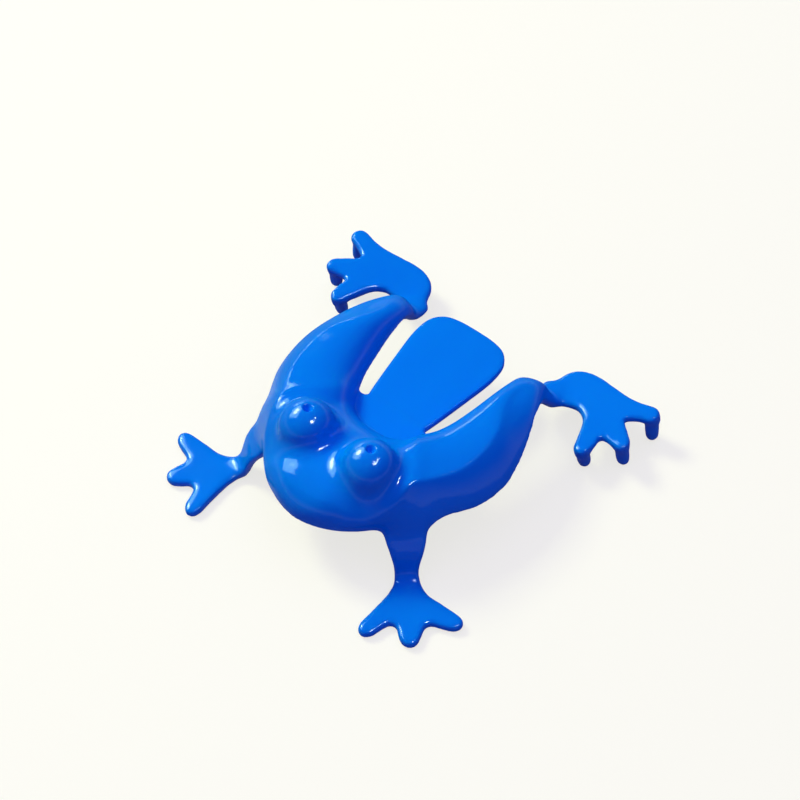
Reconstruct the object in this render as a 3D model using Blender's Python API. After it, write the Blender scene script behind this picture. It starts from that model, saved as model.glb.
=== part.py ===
"""Jumping frog toy: a thin plastic moulding with a press tongue in its back.

The frog faces -Y, its left side is +X, and it stands on the plane z = 0.
Lengths are in metres.  Outlines and guide curves are tables of shares, and each
share is taken of the size that is named beside the table.
"""
import math

import bmesh
import bpy
from mathutils import Vector

MM = 0.001

# Shell: head, shoulders and thighs, open underneath
SHELL_HALF_WIDTH = 19.3 * MM
SHELL_LENGTH = 41.8 * MM
SHOULDER_HEIGHT = 15.5 * MM
NOSE_Y = -22.45 * MM
WALL = 1.2 * MM
WALL_BULGE = 0.7 * MM
SEAM = 0.3 * MM

# Flat panel behind the head, and the press tongue that carries on from it
PANEL_HEIGHT = 9.6 * MM
HINGE_SHARE = 0.539
TONGUE_LENGTH = 19.0 * MM
TONGUE_ROOT_WIDTH = 10.2 * MM
TONGUE_WIDTH = 14.1 * MM
TONGUE_THICKNESS = 1.2 * MM
SLOT_END_DEPTH = 0.35 * MM

# Eyes
EYE_RADIUS = 4.05 * MM
EYE_SPACING = 11.0 * MM
EYE_SETBACK = 10.3 * MM
EYE_RISE = 3.2 * MM
EYE_SKIRT = 4.3 * MM
EYE_WALL = 1.0 * MM
PUPIL_RADIUS = 0.75 * MM
PUPIL_DEPTH = 0.5 * MM
PUPIL_SETBACK = 0.3 * MM
EYE_CUT_ANGLE = math.radians(30)

# Front legs, each a steep strip that ends in a flat three-toed foot
FRONT_FOOT_LENGTH = 12.3 * MM
FRONT_FOOT_WIDTH = 12.4 * MM
FRONT_FOOT_THICKNESS = 1.5 * MM
FRONT_FOOT_SHARE = 0.69
FRONT_TOES_AHEAD = 4.3 * MM
LEG_THICKNESS = 1.3 * MM

# Rear feet, each a raised webbed plate that stands on three toe tips
REAR_FOOT_LENGTH = 13.3 * MM
REAR_FOOT_WIDTH = 16.6 * MM
REAR_FOOT_HEIGHT = 4.4 * MM
REAR_FOOT_THICKNESS = 1.5 * MM
REAR_FOOT_SHARE = 0.595
REAR_TOES_AHEAD = 6.5 * MM
REAR_TOE_RISE = 2.1 * MM
TOE_TIP_RADIUS = 0.85 * MM
TOE_ROOT_RADIUS = 1.05 * MM

# Rounding of the feet and of the tongue
EDGE_ROUND = 0.45 * MM
CUT_OVERRUN = 1.0 * MM
MERGE_DISTANCE = 0.01 * MM

# Places that follow from the sizes above
ANKLE_Y = NOSE_Y + SHELL_LENGTH
HINGE_Y = NOSE_Y + SHELL_LENGTH * HINGE_SHARE
EYE_Y = NOSE_Y + EYE_SETBACK
EYE_TOP = SHOULDER_HEIGHT + EYE_RISE
FRONT_FOOT_X = SHELL_HALF_WIDTH * FRONT_FOOT_SHARE
FRONT_FOOT_Y = NOSE_Y - FRONT_TOES_AHEAD
REAR_FOOT_X = SHELL_HALF_WIDTH * REAR_FOOT_SHARE
REAR_FOOT_Y = ANKLE_Y + SEAM - REAR_TOES_AHEAD

# Mesh counts
STATION_STEPS = 2
WALL_STEPS = 3
TOP_STEPS = 8
PANEL_STEPS = 2
OUTLINE_STEPS = 2
EYE_SEGMENTS = 28
EYE_RINGS = 9
TOE_SEGMENTS = 12
LEG_STEPS = 3

# Guide curves of the left half, from the nose round the shoulder to the ankle:
# shares of the half width, of the length behind the nose and of the shoulder height
RIM_SHARES = (
    (0.0, 0.014, 0.555), (0.166, 0.026, 0.555), (0.33, 0.064, 0.55), (0.461, 0.115, 0.535),
    (0.552, 0.154, 0.525), (0.691, 0.202, 0.509), (0.796, 0.257, 0.522), (0.838, 0.327, 0.548),
    (0.959, 0.44, 0.509), (1.0, 0.545, 0.522), (0.98, 0.634, 0.574), (0.917, 0.733, 0.626),
    (0.833, 0.829, 0.652), (0.77, 0.908, 0.568), (0.739, 0.956, 0.417), (0.74, 1.0, 0.25),
)
CREASE_SHARES = (
    (0.0, 0.022, 0.69), (0.163, 0.034, 0.69), (0.322, 0.076, 0.69), (0.461, 0.128, 0.7),
    (0.534, 0.185, 0.841), (0.571, 0.252, 1.0), (0.618, 0.296, 0.959), (0.676, 0.348, 0.913),
    (0.765, 0.442, 0.868), (0.791, 0.543, 0.861), (0.765, 0.637, 0.874), (0.686, 0.73, 0.855),
    (0.644, 0.827, 0.776), (0.671, 0.925, 0.67), (0.681, 0.978, 0.51), (0.691, 1.0, 0.3),
)
HOLLOW_SHARES = (
    (0.0, 0.435), (0.1, 0.437), (0.183, 0.449), (0.246, 0.469),
    (0.278, 0.488), (0.299, 0.505), (0.314, 0.519), (0.33, 0.536),
    (0.356, 0.565), (0.393, 0.615), (0.43, 0.69), (0.466, 0.771),
    (0.49, 0.853), (0.498, 0.918), (0.534, 0.961), (0.592, 1.0),
)
# Height of that hollow edge above the ankle's end, as a share of the panel height
HOLLOW_HEIGHT_SHARES = (1.0,) * 12 + (0.99, 0.93, 0.74, 0.45)
# Swell of the top between crease and hollow: (reach, height) near the crease, then near the hollow
SWELL_SHARES = (
    (0.36, 0.775, 0.1, 1.015), (0.36, 0.775, 0.1, 1.015), (0.36, 0.78, 0.1, 1.015),
    (0.36, 0.86, 0.1, 1.0), (0.36, 1.018, 0.08, 0.985), (0.36, 1.057, 0.07, 0.965),
    (0.36, 1.018, 0.06, 0.955), (0.36, 0.978, 0.06, 0.95), (0.34, 0.952, 0.05, 0.945),
    (0.34, 0.952, 0.05, 0.94), (0.34, 0.946, 0.05, 0.926), (0.3, 0.907, 0.05, 0.874),
    (0.3, 0.809, 0.05, 0.757), (0.3, 0.7, 0.05, 0.67), (0.3, 0.53, 0.05, 0.51),
    (0.3, 0.305, 0.05, 0.3),
)
# How upright the wall stands at each station: 1 standing, 0 lying flat
STAND_SHARES = (1.0,) * 13 + (0.6, 0.2, 0.0)
# How far the inside of the hollow's edge lies below its outside, in wall thicknesses
HOLLOW_DROP_SHARES = (1.0,) * 8 + (0.55, 0.25, 0.15, 0.15, 0.2, 0.5, 0.9, 1.0)
CREASE_DRAW_SHARE = 0.75
HOLLOW_DRAW_SHARE = 0.85
MITRE_LIMIT_SHARE = 0.5
FLAT_HEEL_SHARE = 0.25
THIN_ROUND_SHARE = 0.25
PANEL_STATION_COUNT = 7
LEG_AHEAD_COUNT = 4
LEG_STATION_COUNT = 2

# Tongue outline, one side: shares of the half width and of the length
TONGUE_SHARES = (
    (0.79, 0.16), (0.91, 0.44), (0.985, 0.63), (1.0, 0.75), (0.965, 0.85),
    (0.86, 0.92), (0.68, 0.97), (0.38, 0.995), (0.0, 1.0),
)

# Front foot outline, from the inner side of the neck round the toes to its outer side:
# shares of the foot's width and length
FRONT_FOOT_SHARES = (
    (0.0, 0.845), (0.055, 0.75), (0.08, 0.625), (0.1, 0.46), (0.1, 0.235), (0.097, 0.098),
    (0.137, 0.016), (0.218, 0.0), (0.29, 0.074), (0.323, 0.205), (0.363, 0.295), (0.435, 0.31),
    (0.524, 0.238), (0.613, 0.19), (0.702, 0.213), (0.742, 0.287), (0.718, 0.393), (0.685, 0.5),
    (0.718, 0.574), (0.84, 0.623), (0.944, 0.672), (0.992, 0.746), (0.968, 0.82), (0.887, 0.85),
    (0.669, 0.85), (0.492, 0.857), (0.371, 0.893), (0.274, 0.95), (0.218, 1.0),
)
# Front leg edges below the shell: shares of the foot's width, of its length and of the panel height
LEG_INNER_SHARES = ((-0.08, 0.82, 0.58), (-0.015, 0.8, 0.39), (0.02, 0.785, 0.22), (0.06, 0.72, 0.145))
LEG_OUTER_SHARES = ((0.23, 1.085, 0.58), (0.235, 1.01, 0.39), (0.25, 0.945, 0.22), (0.3, 0.86, 0.145))

# Rear foot outline, from the inner side of the ankle round the heel and toes to its outer side
REAR_FOOT_SHARES = (
    (0.0, 0.49), (0.01, 0.61), (0.035, 0.785), (0.09, 0.9), (0.19, 0.975), (0.315, 1.0),
    (0.47, 0.98), (0.65, 0.95), (0.775, 0.955), (0.86, 0.985), (0.93, 1.0), (0.985, 0.945),
    (1.0, 0.87), (0.975, 0.8), (0.905, 0.775), (0.84, 0.745), (0.775, 0.68), (0.81, 0.615),
    (0.875, 0.545), (0.94, 0.475), (0.965, 0.395), (0.945, 0.32), (0.905, 0.295), (0.825, 0.315),
    (0.745, 0.34), (0.715, 0.295), (0.725, 0.21), (0.73, 0.1), (0.705, 0.035), (0.65, 0.0),
    (0.585, 0.04), (0.555, 0.155), (0.525, 0.275), (0.475, 0.42), (0.41, 0.5), (0.345, 0.525),
    (0.27, 0.5), (0.22, 0.455), (0.165, 0.49),
)
TOE_TIP_SHARES = ((0.93, 0.945), (0.885, 0.48), (0.645, 0.165))

PLASTIC_COLOUR = (0.0, 0.19, 0.88, 1.0)
PLASTIC_ROUGHNESS = 0.22


def clear_scene():
    for obj in list(bpy.data.objects):
        bpy.data.objects.remove(obj, do_unlink=True)


def plastic(name):
    material = bpy.data.materials.new(name)
    material.use_nodes = True
    shader = material.node_tree.nodes["Principled BSDF"]
    shader.inputs["Base Color"].default_value = PLASTIC_COLOUR
    shader.inputs["Roughness"].default_value = PLASTIC_ROUGHNESS
    shader.inputs["Metallic"].default_value = 0.0
    material.diffuse_color = PLASTIC_COLOUR
    return material


def add_object(name, bm, smooth_angle=math.radians(40)):
    mesh = bpy.data.meshes.new(name)
    bm.to_mesh(mesh)
    bm.free()
    mesh.shade_smooth()
    mesh.set_sharp_from_angle(angle=smooth_angle)
    obj = bpy.data.objects.new(name, mesh)
    bpy.context.collection.objects.link(obj)
    return obj


def add_cutter(name, bm):
    cutter = add_object(name, bm)
    cutter.hide_render = True
    cutter.display_type = "WIRE"
    return cutter


def add_boolean(obj, cutter, operation):
    modifier = obj.modifiers.new(cutter.name, "BOOLEAN")
    modifier.operation = operation
    modifier.solver = "EXACT"
    modifier.object = cutter


def spline(points, steps, lead=None):
    """Points of a Catmull-Rom curve through the given points, with equal steps between them."""
    padded = [lead or points[0]] + points + [points[-1]]
    curve = []
    for before, start, end, after in zip(padded, padded[1:], padded[2:], padded[3:]):
        for step in range(steps):
            t = step / steps
            curve.append(0.5 * (2 * start + (end - before) * t
                                + (2 * before - 5 * start + 4 * end - after) * t ** 2
                                + (3 * start - before - 3 * end + after) * t ** 3))
    curve.append(points[-1].copy())
    return curve


def shell_point(shares):
    x_share, y_share, z_share = shares
    return Vector((SHELL_HALF_WIDTH * x_share, NOSE_Y + SHELL_LENGTH * y_share,
                   SHOULDER_HEIGHT * z_share))


def mirror_point(point):
    return Vector((-point.x, point.y, point.z))


def outward_at(rims, index):
    """Level direction that points out of the shell at a station of its rim."""
    before = rims[index - 1] if index else mirror_point(rims[1])
    after = rims[min(index + 1, len(rims) - 1)]
    along = after - before
    return Vector((along.y, -along.x, 0.0)).normalized()


def outer_guides():
    """Rim, crease, the two swell handles and the hollow edge at the stations of the left half."""
    rims = [shell_point(s) for s in RIM_SHARES]
    creases = [shell_point(s) for s in CREASE_SHARES]
    hollows = []
    for (x_share, y_share), height_share in zip(HOLLOW_SHARES, HOLLOW_HEIGHT_SHARES):
        hollow = shell_point((x_share, y_share, 0.0))
        hollow.z = PANEL_HEIGHT * height_share
        hollows.append(hollow)
    first_handles, second_handles = [], []
    for crease, hollow, swell in zip(creases, hollows, SWELL_SHARES):
        near_crease = crease.lerp(hollow, swell[0])
        near_crease.z = SHOULDER_HEIGHT * swell[1]
        near_hollow = hollow.lerp(crease, swell[2])
        near_hollow.z = SHOULDER_HEIGHT * swell[3]
        first_handles.append(near_crease)
        second_handles.append(near_hollow)
    return rims, creases, first_handles, second_handles, hollows


def inner_guides(guides):
    """The same guides moved to the inside of the wall, sideways where it stands up."""
    down = Vector((0.0, 0.0, -WALL))
    moved = []
    for index, (rim, crease, first, second, hollow) in enumerate(zip(*guides)):
        inward = outward_at(guides[0], index) * -WALL
        back = Vector((crease.x - hollow.x, crease.y - hollow.y, 0.0)).normalized() * WALL
        stand = STAND_SHARES[index]
        moved.append((
            rim + inward * stand + down * (1 - stand),
            crease + inward * stand * CREASE_DRAW_SHARE + down,
            first + down,
            second + back * stand * HOLLOW_DRAW_SHARE + down * CREASE_DRAW_SHARE,
            hollow + back * stand * HOLLOW_DRAW_SHARE + down * HOLLOW_DROP_SHARES[index],
        ))
    return list(zip(*moved))


def shell_rows(guides):
    """Sections of the left half, one row of points each, from the rim to the hollow edge."""
    curves = []
    for guide in guides:
        guide = list(guide)
        curves.append(spline(guide, STATION_STEPS, lead=mirror_point(guide[1])))
    return [shell_section(*stations) for stations in zip(*curves)]


def bezier(points, t):
    """Point of a Bezier curve at t, by repeated blending of its control points."""
    while len(points) > 1:
        points = [a.lerp(b, t) for a, b in zip(points, points[1:])]
    return points[0]


def wall_handle(rim, crease):
    """Middle control point of the outer wall, pushed out of the straight line by the bulge."""
    middle = rim.lerp(crease, 0.5)
    outward = Vector((rim.x - crease.x, rim.y - crease.y, 0.0))
    if outward.length > 0:
        outward.normalize()
    slope = (crease - rim).normalized()
    normal = outward - slope * outward.dot(slope)
    return middle + normal.normalized() * WALL_BULGE


def shell_section(rim, crease, first, second, hollow):
    """Points of one section, from the rim over the crease to the edge of the hollow."""
    wall = [rim, wall_handle(rim, crease), crease]
    section = [bezier(wall, step / WALL_STEPS) for step in range(WALL_STEPS)]
    top = [crease, first, second, hollow]
    section += [bezier(top, step / TOP_STEPS) for step in range(TOP_STEPS + 1)]
    return section


def panel_edge(count, end, height):
    """Rear edge of the panel: half of the tongue's root, then round the front end of the slot."""
    root_y = HINGE_Y - SEAM / 2
    corner = Vector((TONGUE_ROOT_WIDTH / 2, root_y, height))
    bend = Vector(((corner.x + end.x) / 2, root_y - SLOT_END_DEPTH, height))
    straight_count = count * 2 // 3
    edge = []
    for index in range(straight_count):
        edge.append(Vector((corner.x * index / straight_count, root_y, height)))
    curved_count = count - straight_count
    for index in range(curved_count):
        edge.append(bezier([corner, bend, end], index / curved_count))
    return edge


def add_skin(bm, rows, height, inside):
    """Faces of one side of the shell's wall; returns its free border from the nose to the panel."""
    panel_rows = PANEL_STATION_COUNT * STATION_STEPS
    grid = [[bm.verts.new(point) for point in row] for row in rows]
    closing = grid[panel_rows][-1]
    strips = []
    for row, edge_point in zip(grid, panel_edge(panel_rows, closing.co, height)):
        strip = [row[-1]]
        for step in range(1, PANEL_STEPS + 1):
            strip.append(bm.verts.new(row[-1].co.lerp(edge_point, step / PANEL_STEPS)))
        strips.append(strip)
    faces = []
    for lines in (grid, strips):
        for line, following in zip(lines, lines[1:]):
            for near, far in zip(range(len(line)), range(1, len(line))):
                faces.append((line[near], following[near], following[far], line[far]))
    for near, far in zip(strips[-1], strips[-1][1:]):
        faces.append((near, closing, far))
    for face in faces:
        bm.faces.new(tuple(reversed(face)) if inside else face)
    border = [row[0] for row in grid] + grid[-1][1:]
    border += [row[-1] for row in reversed(grid[panel_rows:-1])]
    return border + [strip[-1] for strip in reversed(strips)]


def build_shell():
    """Head, shoulders and thighs as one wall, with the flat panel for the tongue behind the head."""
    guides = outer_guides()
    bm = bmesh.new()
    outer = add_skin(bm, shell_rows(guides), PANEL_HEIGHT, False)
    inner = add_skin(bm, shell_rows(inner_guides(guides)), PANEL_HEIGHT - WALL, True)
    for index in range(len(outer) - 1):
        bm.faces.new((outer[index], inner[index], inner[index + 1], outer[index + 1]))
    shell = add_object("body_shell", bm)
    mirror = shell.modifiers.new("halves", "MIRROR")
    mirror.merge_threshold = MERGE_DISTANCE
    for side, label in ((1, "left"), (-1, "right")):
        centre = Vector((side * EYE_SPACING / 2, EYE_Y, EYE_TOP - EYE_RADIUS))
        dome = add_cutter(label + "_eye_dome", dome_mesh(centre, EYE_RADIUS, EYE_SKIRT))
        add_boolean(shell, dome, "UNION")
    for side, label in ((1, "left"), (-1, "right")):
        centre = Vector((side * EYE_SPACING / 2, EYE_Y, EYE_TOP - EYE_RADIUS))
        inner = dome_mesh(centre, EYE_RADIUS - EYE_WALL, EYE_SKIRT + CUT_OVERRUN)
        add_boolean(shell, add_cutter(label + "_eye_hollow", inner), "DIFFERENCE")
        pupil = centre + Vector((0.0, PUPIL_SETBACK, EYE_RADIUS + PUPIL_RADIUS - PUPIL_DEPTH))
        bm = bmesh.new()
        bmesh.ops.create_icosphere(bm, subdivisions=2, radius=PUPIL_RADIUS)
        bmesh.ops.translate(bm, verts=bm.verts, vec=pupil)
        add_boolean(shell, add_cutter(label + "_pupil", bm), "DIFFERENCE")
    return shell


def dome_mesh(centre, radius, skirt):
    """Closed ball cut off below its middle, on a straight skirt of the given length."""
    bm = bmesh.new()
    rings = []
    profile = [(radius * math.cos(EYE_CUT_ANGLE), -skirt)]
    for ring in range(EYE_RINGS):
        angle = (math.pi / 2 + EYE_CUT_ANGLE) * ring / EYE_RINGS - EYE_CUT_ANGLE
        profile.append((radius * math.cos(angle), radius * math.sin(angle)))
    for ring_radius, height in profile:
        ring = []
        for segment in range(EYE_SEGMENTS):
            angle = 2 * math.pi * segment / EYE_SEGMENTS
            offset = Vector((ring_radius * math.cos(angle), ring_radius * math.sin(angle), height))
            ring.append(bm.verts.new(centre + offset))
        rings.append(ring)
    for lower, upper in zip(rings, rings[1:]):
        for segment in range(EYE_SEGMENTS):
            after = (segment + 1) % EYE_SEGMENTS
            bm.faces.new((lower[segment], lower[after], upper[after], upper[segment]))
    bm.faces.new(list(reversed(rings[0])))
    apex = bm.verts.new(centre + Vector((0.0, 0.0, radius)))
    for segment in range(EYE_SEGMENTS):
        bm.faces.new((rings[-1][segment], rings[-1][(segment + 1) % EYE_SEGMENTS], apex))
    return bm


def inset_loop(points, distance):
    """The closed loop with every side moved inward by a distance (seen from above)."""
    count = len(points)
    moved = []
    for index in range(count):
        here = points[index]
        arriving = (here - points[index - 1]).normalized()
        leaving = (points[(index + 1) % count] - here).normalized()
        middle = (arriving + leaving).normalized()
        reach = distance / max(middle.dot(leaving), MITRE_LIMIT_SHARE)
        moved.append(here + Vector((-middle.y, middle.x, 0.0)) * reach)
    return moved


def plate_outline(points):
    """Smooth outline through the points, left straight beside the two corners of its neck."""
    curve = spline(points, OUTLINE_STEPS)
    return [curve[0]] + curve[OUTLINE_STEPS:-OUTLINE_STEPS] + [curve[-1]]


def plate_mesh(outline, bottom, top, rounding):
    """Closed plate over an outline that runs counter-clockwise, with rounded long edges."""
    bm = bmesh.new()
    half = rounding * (1 - math.sqrt(0.5))
    levels = (
        (rounding, bottom), (half, bottom + half), (0.0, bottom + rounding),
        (0.0, top - rounding), (half, top - half), (rounding, top),
    )
    rings = []
    for inset, height in levels:
        ring = []
        for point in inset_loop(outline, inset):
            ring.append(bm.verts.new(Vector((point.x, point.y, height))))
        rings.append(ring)
    count = len(outline)
    for lower, upper in zip(rings, rings[1:]):
        for index in range(count):
            after = (index + 1) % count
            bm.faces.new((lower[index], lower[after], upper[after], upper[index]))
    bm.faces.new(list(reversed(rings[0])))
    bm.faces.new(rings[-1])
    bm.normal_update()
    bmesh.ops.triangulate(bm, faces=[face for face in bm.faces if len(face.verts) > 4])
    return bm


def mirrored(bm):
    """The same closed mesh on the frog's other side, with its faces still pointing out."""
    for vert in bm.verts:
        vert.co.x = -vert.co.x
    bmesh.ops.reverse_faces(bm, faces=bm.faces)
    return bm


def build_tongue():
    root_y = HINGE_Y + SEAM / 2
    side = [Vector((TONGUE_ROOT_WIDTH / 2, root_y, 0.0))]
    for x_share, y_share in TONGUE_SHARES:
        side.append(Vector((TONGUE_WIDTH / 2 * x_share, HINGE_Y + TONGUE_LENGTH * y_share, 0.0)))
    right = spline(side, OUTLINE_STEPS)
    left = [Vector((-point.x, point.y, 0.0)) for point in reversed(right[:-1])]
    bottom = PANEL_HEIGHT - TONGUE_THICKNESS
    rounding = min(EDGE_ROUND, TONGUE_THICKNESS * THIN_ROUND_SHARE)
    bm = plate_mesh(right + left, bottom, PANEL_HEIGHT, rounding)
    hinge = Vector((0.0, HINGE_Y, bottom))
    bmesh.ops.translate(bm, verts=bm.verts, vec=-hinge)
    tongue = add_object("press_tongue", bm)
    tongue.location = hinge
    return tongue


def front_foot_point(shares, height=0.0):
    return Vector((FRONT_FOOT_X + FRONT_FOOT_WIDTH * shares[0],
                   FRONT_FOOT_Y + FRONT_FOOT_LENGTH * shares[1], height))


def leg_mesh():
    """Strip that carries the shoulder's wall down to the foot, closed on all sides."""
    sections = shell_rows(outer_guides())
    first = LEG_AHEAD_COUNT * STATION_STEPS
    last = first + LEG_STATION_COUNT * STATION_STEPS
    heads = []
    for section in sections[first:last + 1]:
        down = (section[0] - section[1]).normalized()
        heads.append(section[0] + down * SEAM)
    inner = [front_foot_point(s[:2], PANEL_HEIGHT * s[2]) for s in LEG_INNER_SHARES]
    outer = [front_foot_point(s[:2], PANEL_HEIGHT * s[2]) for s in LEG_OUTER_SHARES]
    columns = []
    for step, head in enumerate(heads):
        across = step / (len(heads) - 1)
        guide = [head] + [a.lerp(b, across) for a, b in zip(inner, outer)]
        columns.append(spline(guide, LEG_STEPS))
    bm = bmesh.new()
    front = [[bm.verts.new(point) for point in row] for row in zip(*columns)]
    back = []
    for index, row in enumerate(front):
        above = front[max(index - 1, 0)]
        below = front[min(index + 1, len(front) - 1)]
        middle = len(row) // 2
        along = below[middle].co - above[middle].co
        inward = (row[-1].co - row[0].co).cross(along).normalized()
        back.append([bm.verts.new(vert.co + inward * LEG_THICKNESS) for vert in row])
    for rows, flip in ((front, False), (back, True)):
        for row, following in zip(rows, rows[1:]):
            for column in range(len(row) - 1):
                corners = (row[column], following[column], following[column + 1], row[column + 1])
                bm.faces.new(tuple(reversed(corners)) if flip else corners)
    borders = (
        front[0] + list(reversed(back[0])), list(reversed(front[-1])) + back[-1],
        [row[0] for row in reversed(front)] + [row[0] for row in back],
        [row[-1] for row in front] + [row[-1] for row in reversed(back)],
    )
    for border in borders:
        half = len(border) // 2
        for index in range(half - 1):
            bm.faces.new((border[index], border[index + 1], border[-index - 2], border[-index - 1]))
    bmesh.ops.recalc_face_normals(bm, faces=bm.faces)
    return bm


def build_front_leg(side, label):
    outline = plate_outline([front_foot_point(s) for s in FRONT_FOOT_SHARES])
    foot = plate_mesh(outline, 0.0, FRONT_FOOT_THICKNESS, EDGE_ROUND)
    strip = leg_mesh()
    if side < 0:
        mirrored(foot)
        mirrored(strip)
    leg = add_object(label + "_leg", strip)
    add_boolean(leg, add_cutter(label + "_foot_plate", foot), "UNION")
    return leg


def rear_foot_point(shares, height=0.0):
    return Vector((REAR_FOOT_X + REAR_FOOT_WIDTH * shares[0],
                   REAR_FOOT_Y + REAR_FOOT_LENGTH * shares[1], height))


def toe_rise(point, neck):
    """How far the rear plate has risen at a point, flat by the heel and highest at the toes."""
    distance = math.hypot(point.x - neck.x, point.y - neck.y) / REAR_FOOT_WIDTH
    return REAR_TOE_RISE * max(distance - FLAT_HEEL_SHARE, 0.0)


def build_rear_foot(side, label):
    points = [rear_foot_point(s) for s in reversed(REAR_FOOT_SHARES)]
    for neck in (points[0], points[-1]):
        neck.y = ANKLE_Y + SEAM
    outline = plate_outline(points)
    bottom = REAR_FOOT_HEIGHT - REAR_FOOT_THICKNESS
    plate = plate_mesh(outline, bottom, REAR_FOOT_HEIGHT, EDGE_ROUND)
    for vert in plate.verts:
        vert.co.z += toe_rise(vert.co, points[-1])
    if side < 0:
        mirrored(plate)
    foot = add_object(label + "_foot", plate)
    for number, shares in enumerate(TOE_TIP_SHARES, start=1):
        rise = toe_rise(rear_foot_point(shares), points[-1])
        toe_height = REAR_FOOT_HEIGHT + rise - EDGE_ROUND
        bm = bmesh.new()
        bmesh.ops.create_cone(bm, cap_ends=True, segments=TOE_SEGMENTS, radius1=TOE_TIP_RADIUS,
                              radius2=TOE_ROOT_RADIUS, depth=toe_height)
        bmesh.ops.translate(bm, verts=bm.verts, vec=rear_foot_point(shares, toe_height / 2))
        if side < 0:
            mirrored(bm)
        add_boolean(foot, add_cutter(label + "_toe_" + str(number), bm), "UNION")
    return foot


def main():
    clear_scene()
    pieces = [build_shell(), build_tongue()]
    for side, name in ((1, "left"), (-1, "right")):
        pieces.append(build_front_leg(side, "front_" + name))
        pieces.append(build_rear_foot(side, "rear_" + name))
    for piece in pieces:
        piece.data.materials.append(plastic(piece.name + "_plastic"))


main()
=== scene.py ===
"""Looks of the jumping frog toy: one glossy blue moulding with a springy press tongue.

The frog faces -Y, its own left is +X and it stands on z = 0.  Lengths are in metres.
"""
import logging
import math
from collections.abc import Callable
from dataclasses import dataclass, field
from enum import Enum

import bmesh
import bpy
import numpy as np
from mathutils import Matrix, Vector


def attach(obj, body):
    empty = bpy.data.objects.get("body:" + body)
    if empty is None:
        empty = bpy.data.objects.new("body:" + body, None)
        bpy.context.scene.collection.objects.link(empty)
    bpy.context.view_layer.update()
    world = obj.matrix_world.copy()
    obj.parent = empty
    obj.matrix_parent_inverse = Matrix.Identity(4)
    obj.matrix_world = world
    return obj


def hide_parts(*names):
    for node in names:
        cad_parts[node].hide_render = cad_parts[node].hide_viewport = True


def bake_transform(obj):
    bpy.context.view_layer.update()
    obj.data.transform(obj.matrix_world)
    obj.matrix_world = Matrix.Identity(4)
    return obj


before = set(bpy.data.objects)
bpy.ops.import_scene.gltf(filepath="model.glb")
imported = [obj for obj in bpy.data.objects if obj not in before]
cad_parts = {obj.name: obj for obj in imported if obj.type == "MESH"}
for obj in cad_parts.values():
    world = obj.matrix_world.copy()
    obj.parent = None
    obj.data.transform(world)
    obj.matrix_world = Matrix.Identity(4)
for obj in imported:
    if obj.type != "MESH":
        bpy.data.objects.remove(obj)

LOG = logging.getLogger("frog")
MM = 0.001
ROUND_STEPS = 4  # steps round a rounded edge or end
CURVE_STEPS = 4  # steps between two points of an outline or of an ankle


class Side(Enum):
    """The frog's own left and right."""

    LEFT = 1
    RIGHT = -1


class Use(Enum):
    """What a lamp is there for."""

    LIGHT = "lights the surfaces"
    SHINE = "shows in the gloss"


Triple = tuple[float, float, float]
Shares = tuple[tuple[float, ...], ...]
Ring = list[bmesh.types.BMVert]
BorderPair = tuple[bmesh.types.BMVert, bmesh.types.BMVert]


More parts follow.
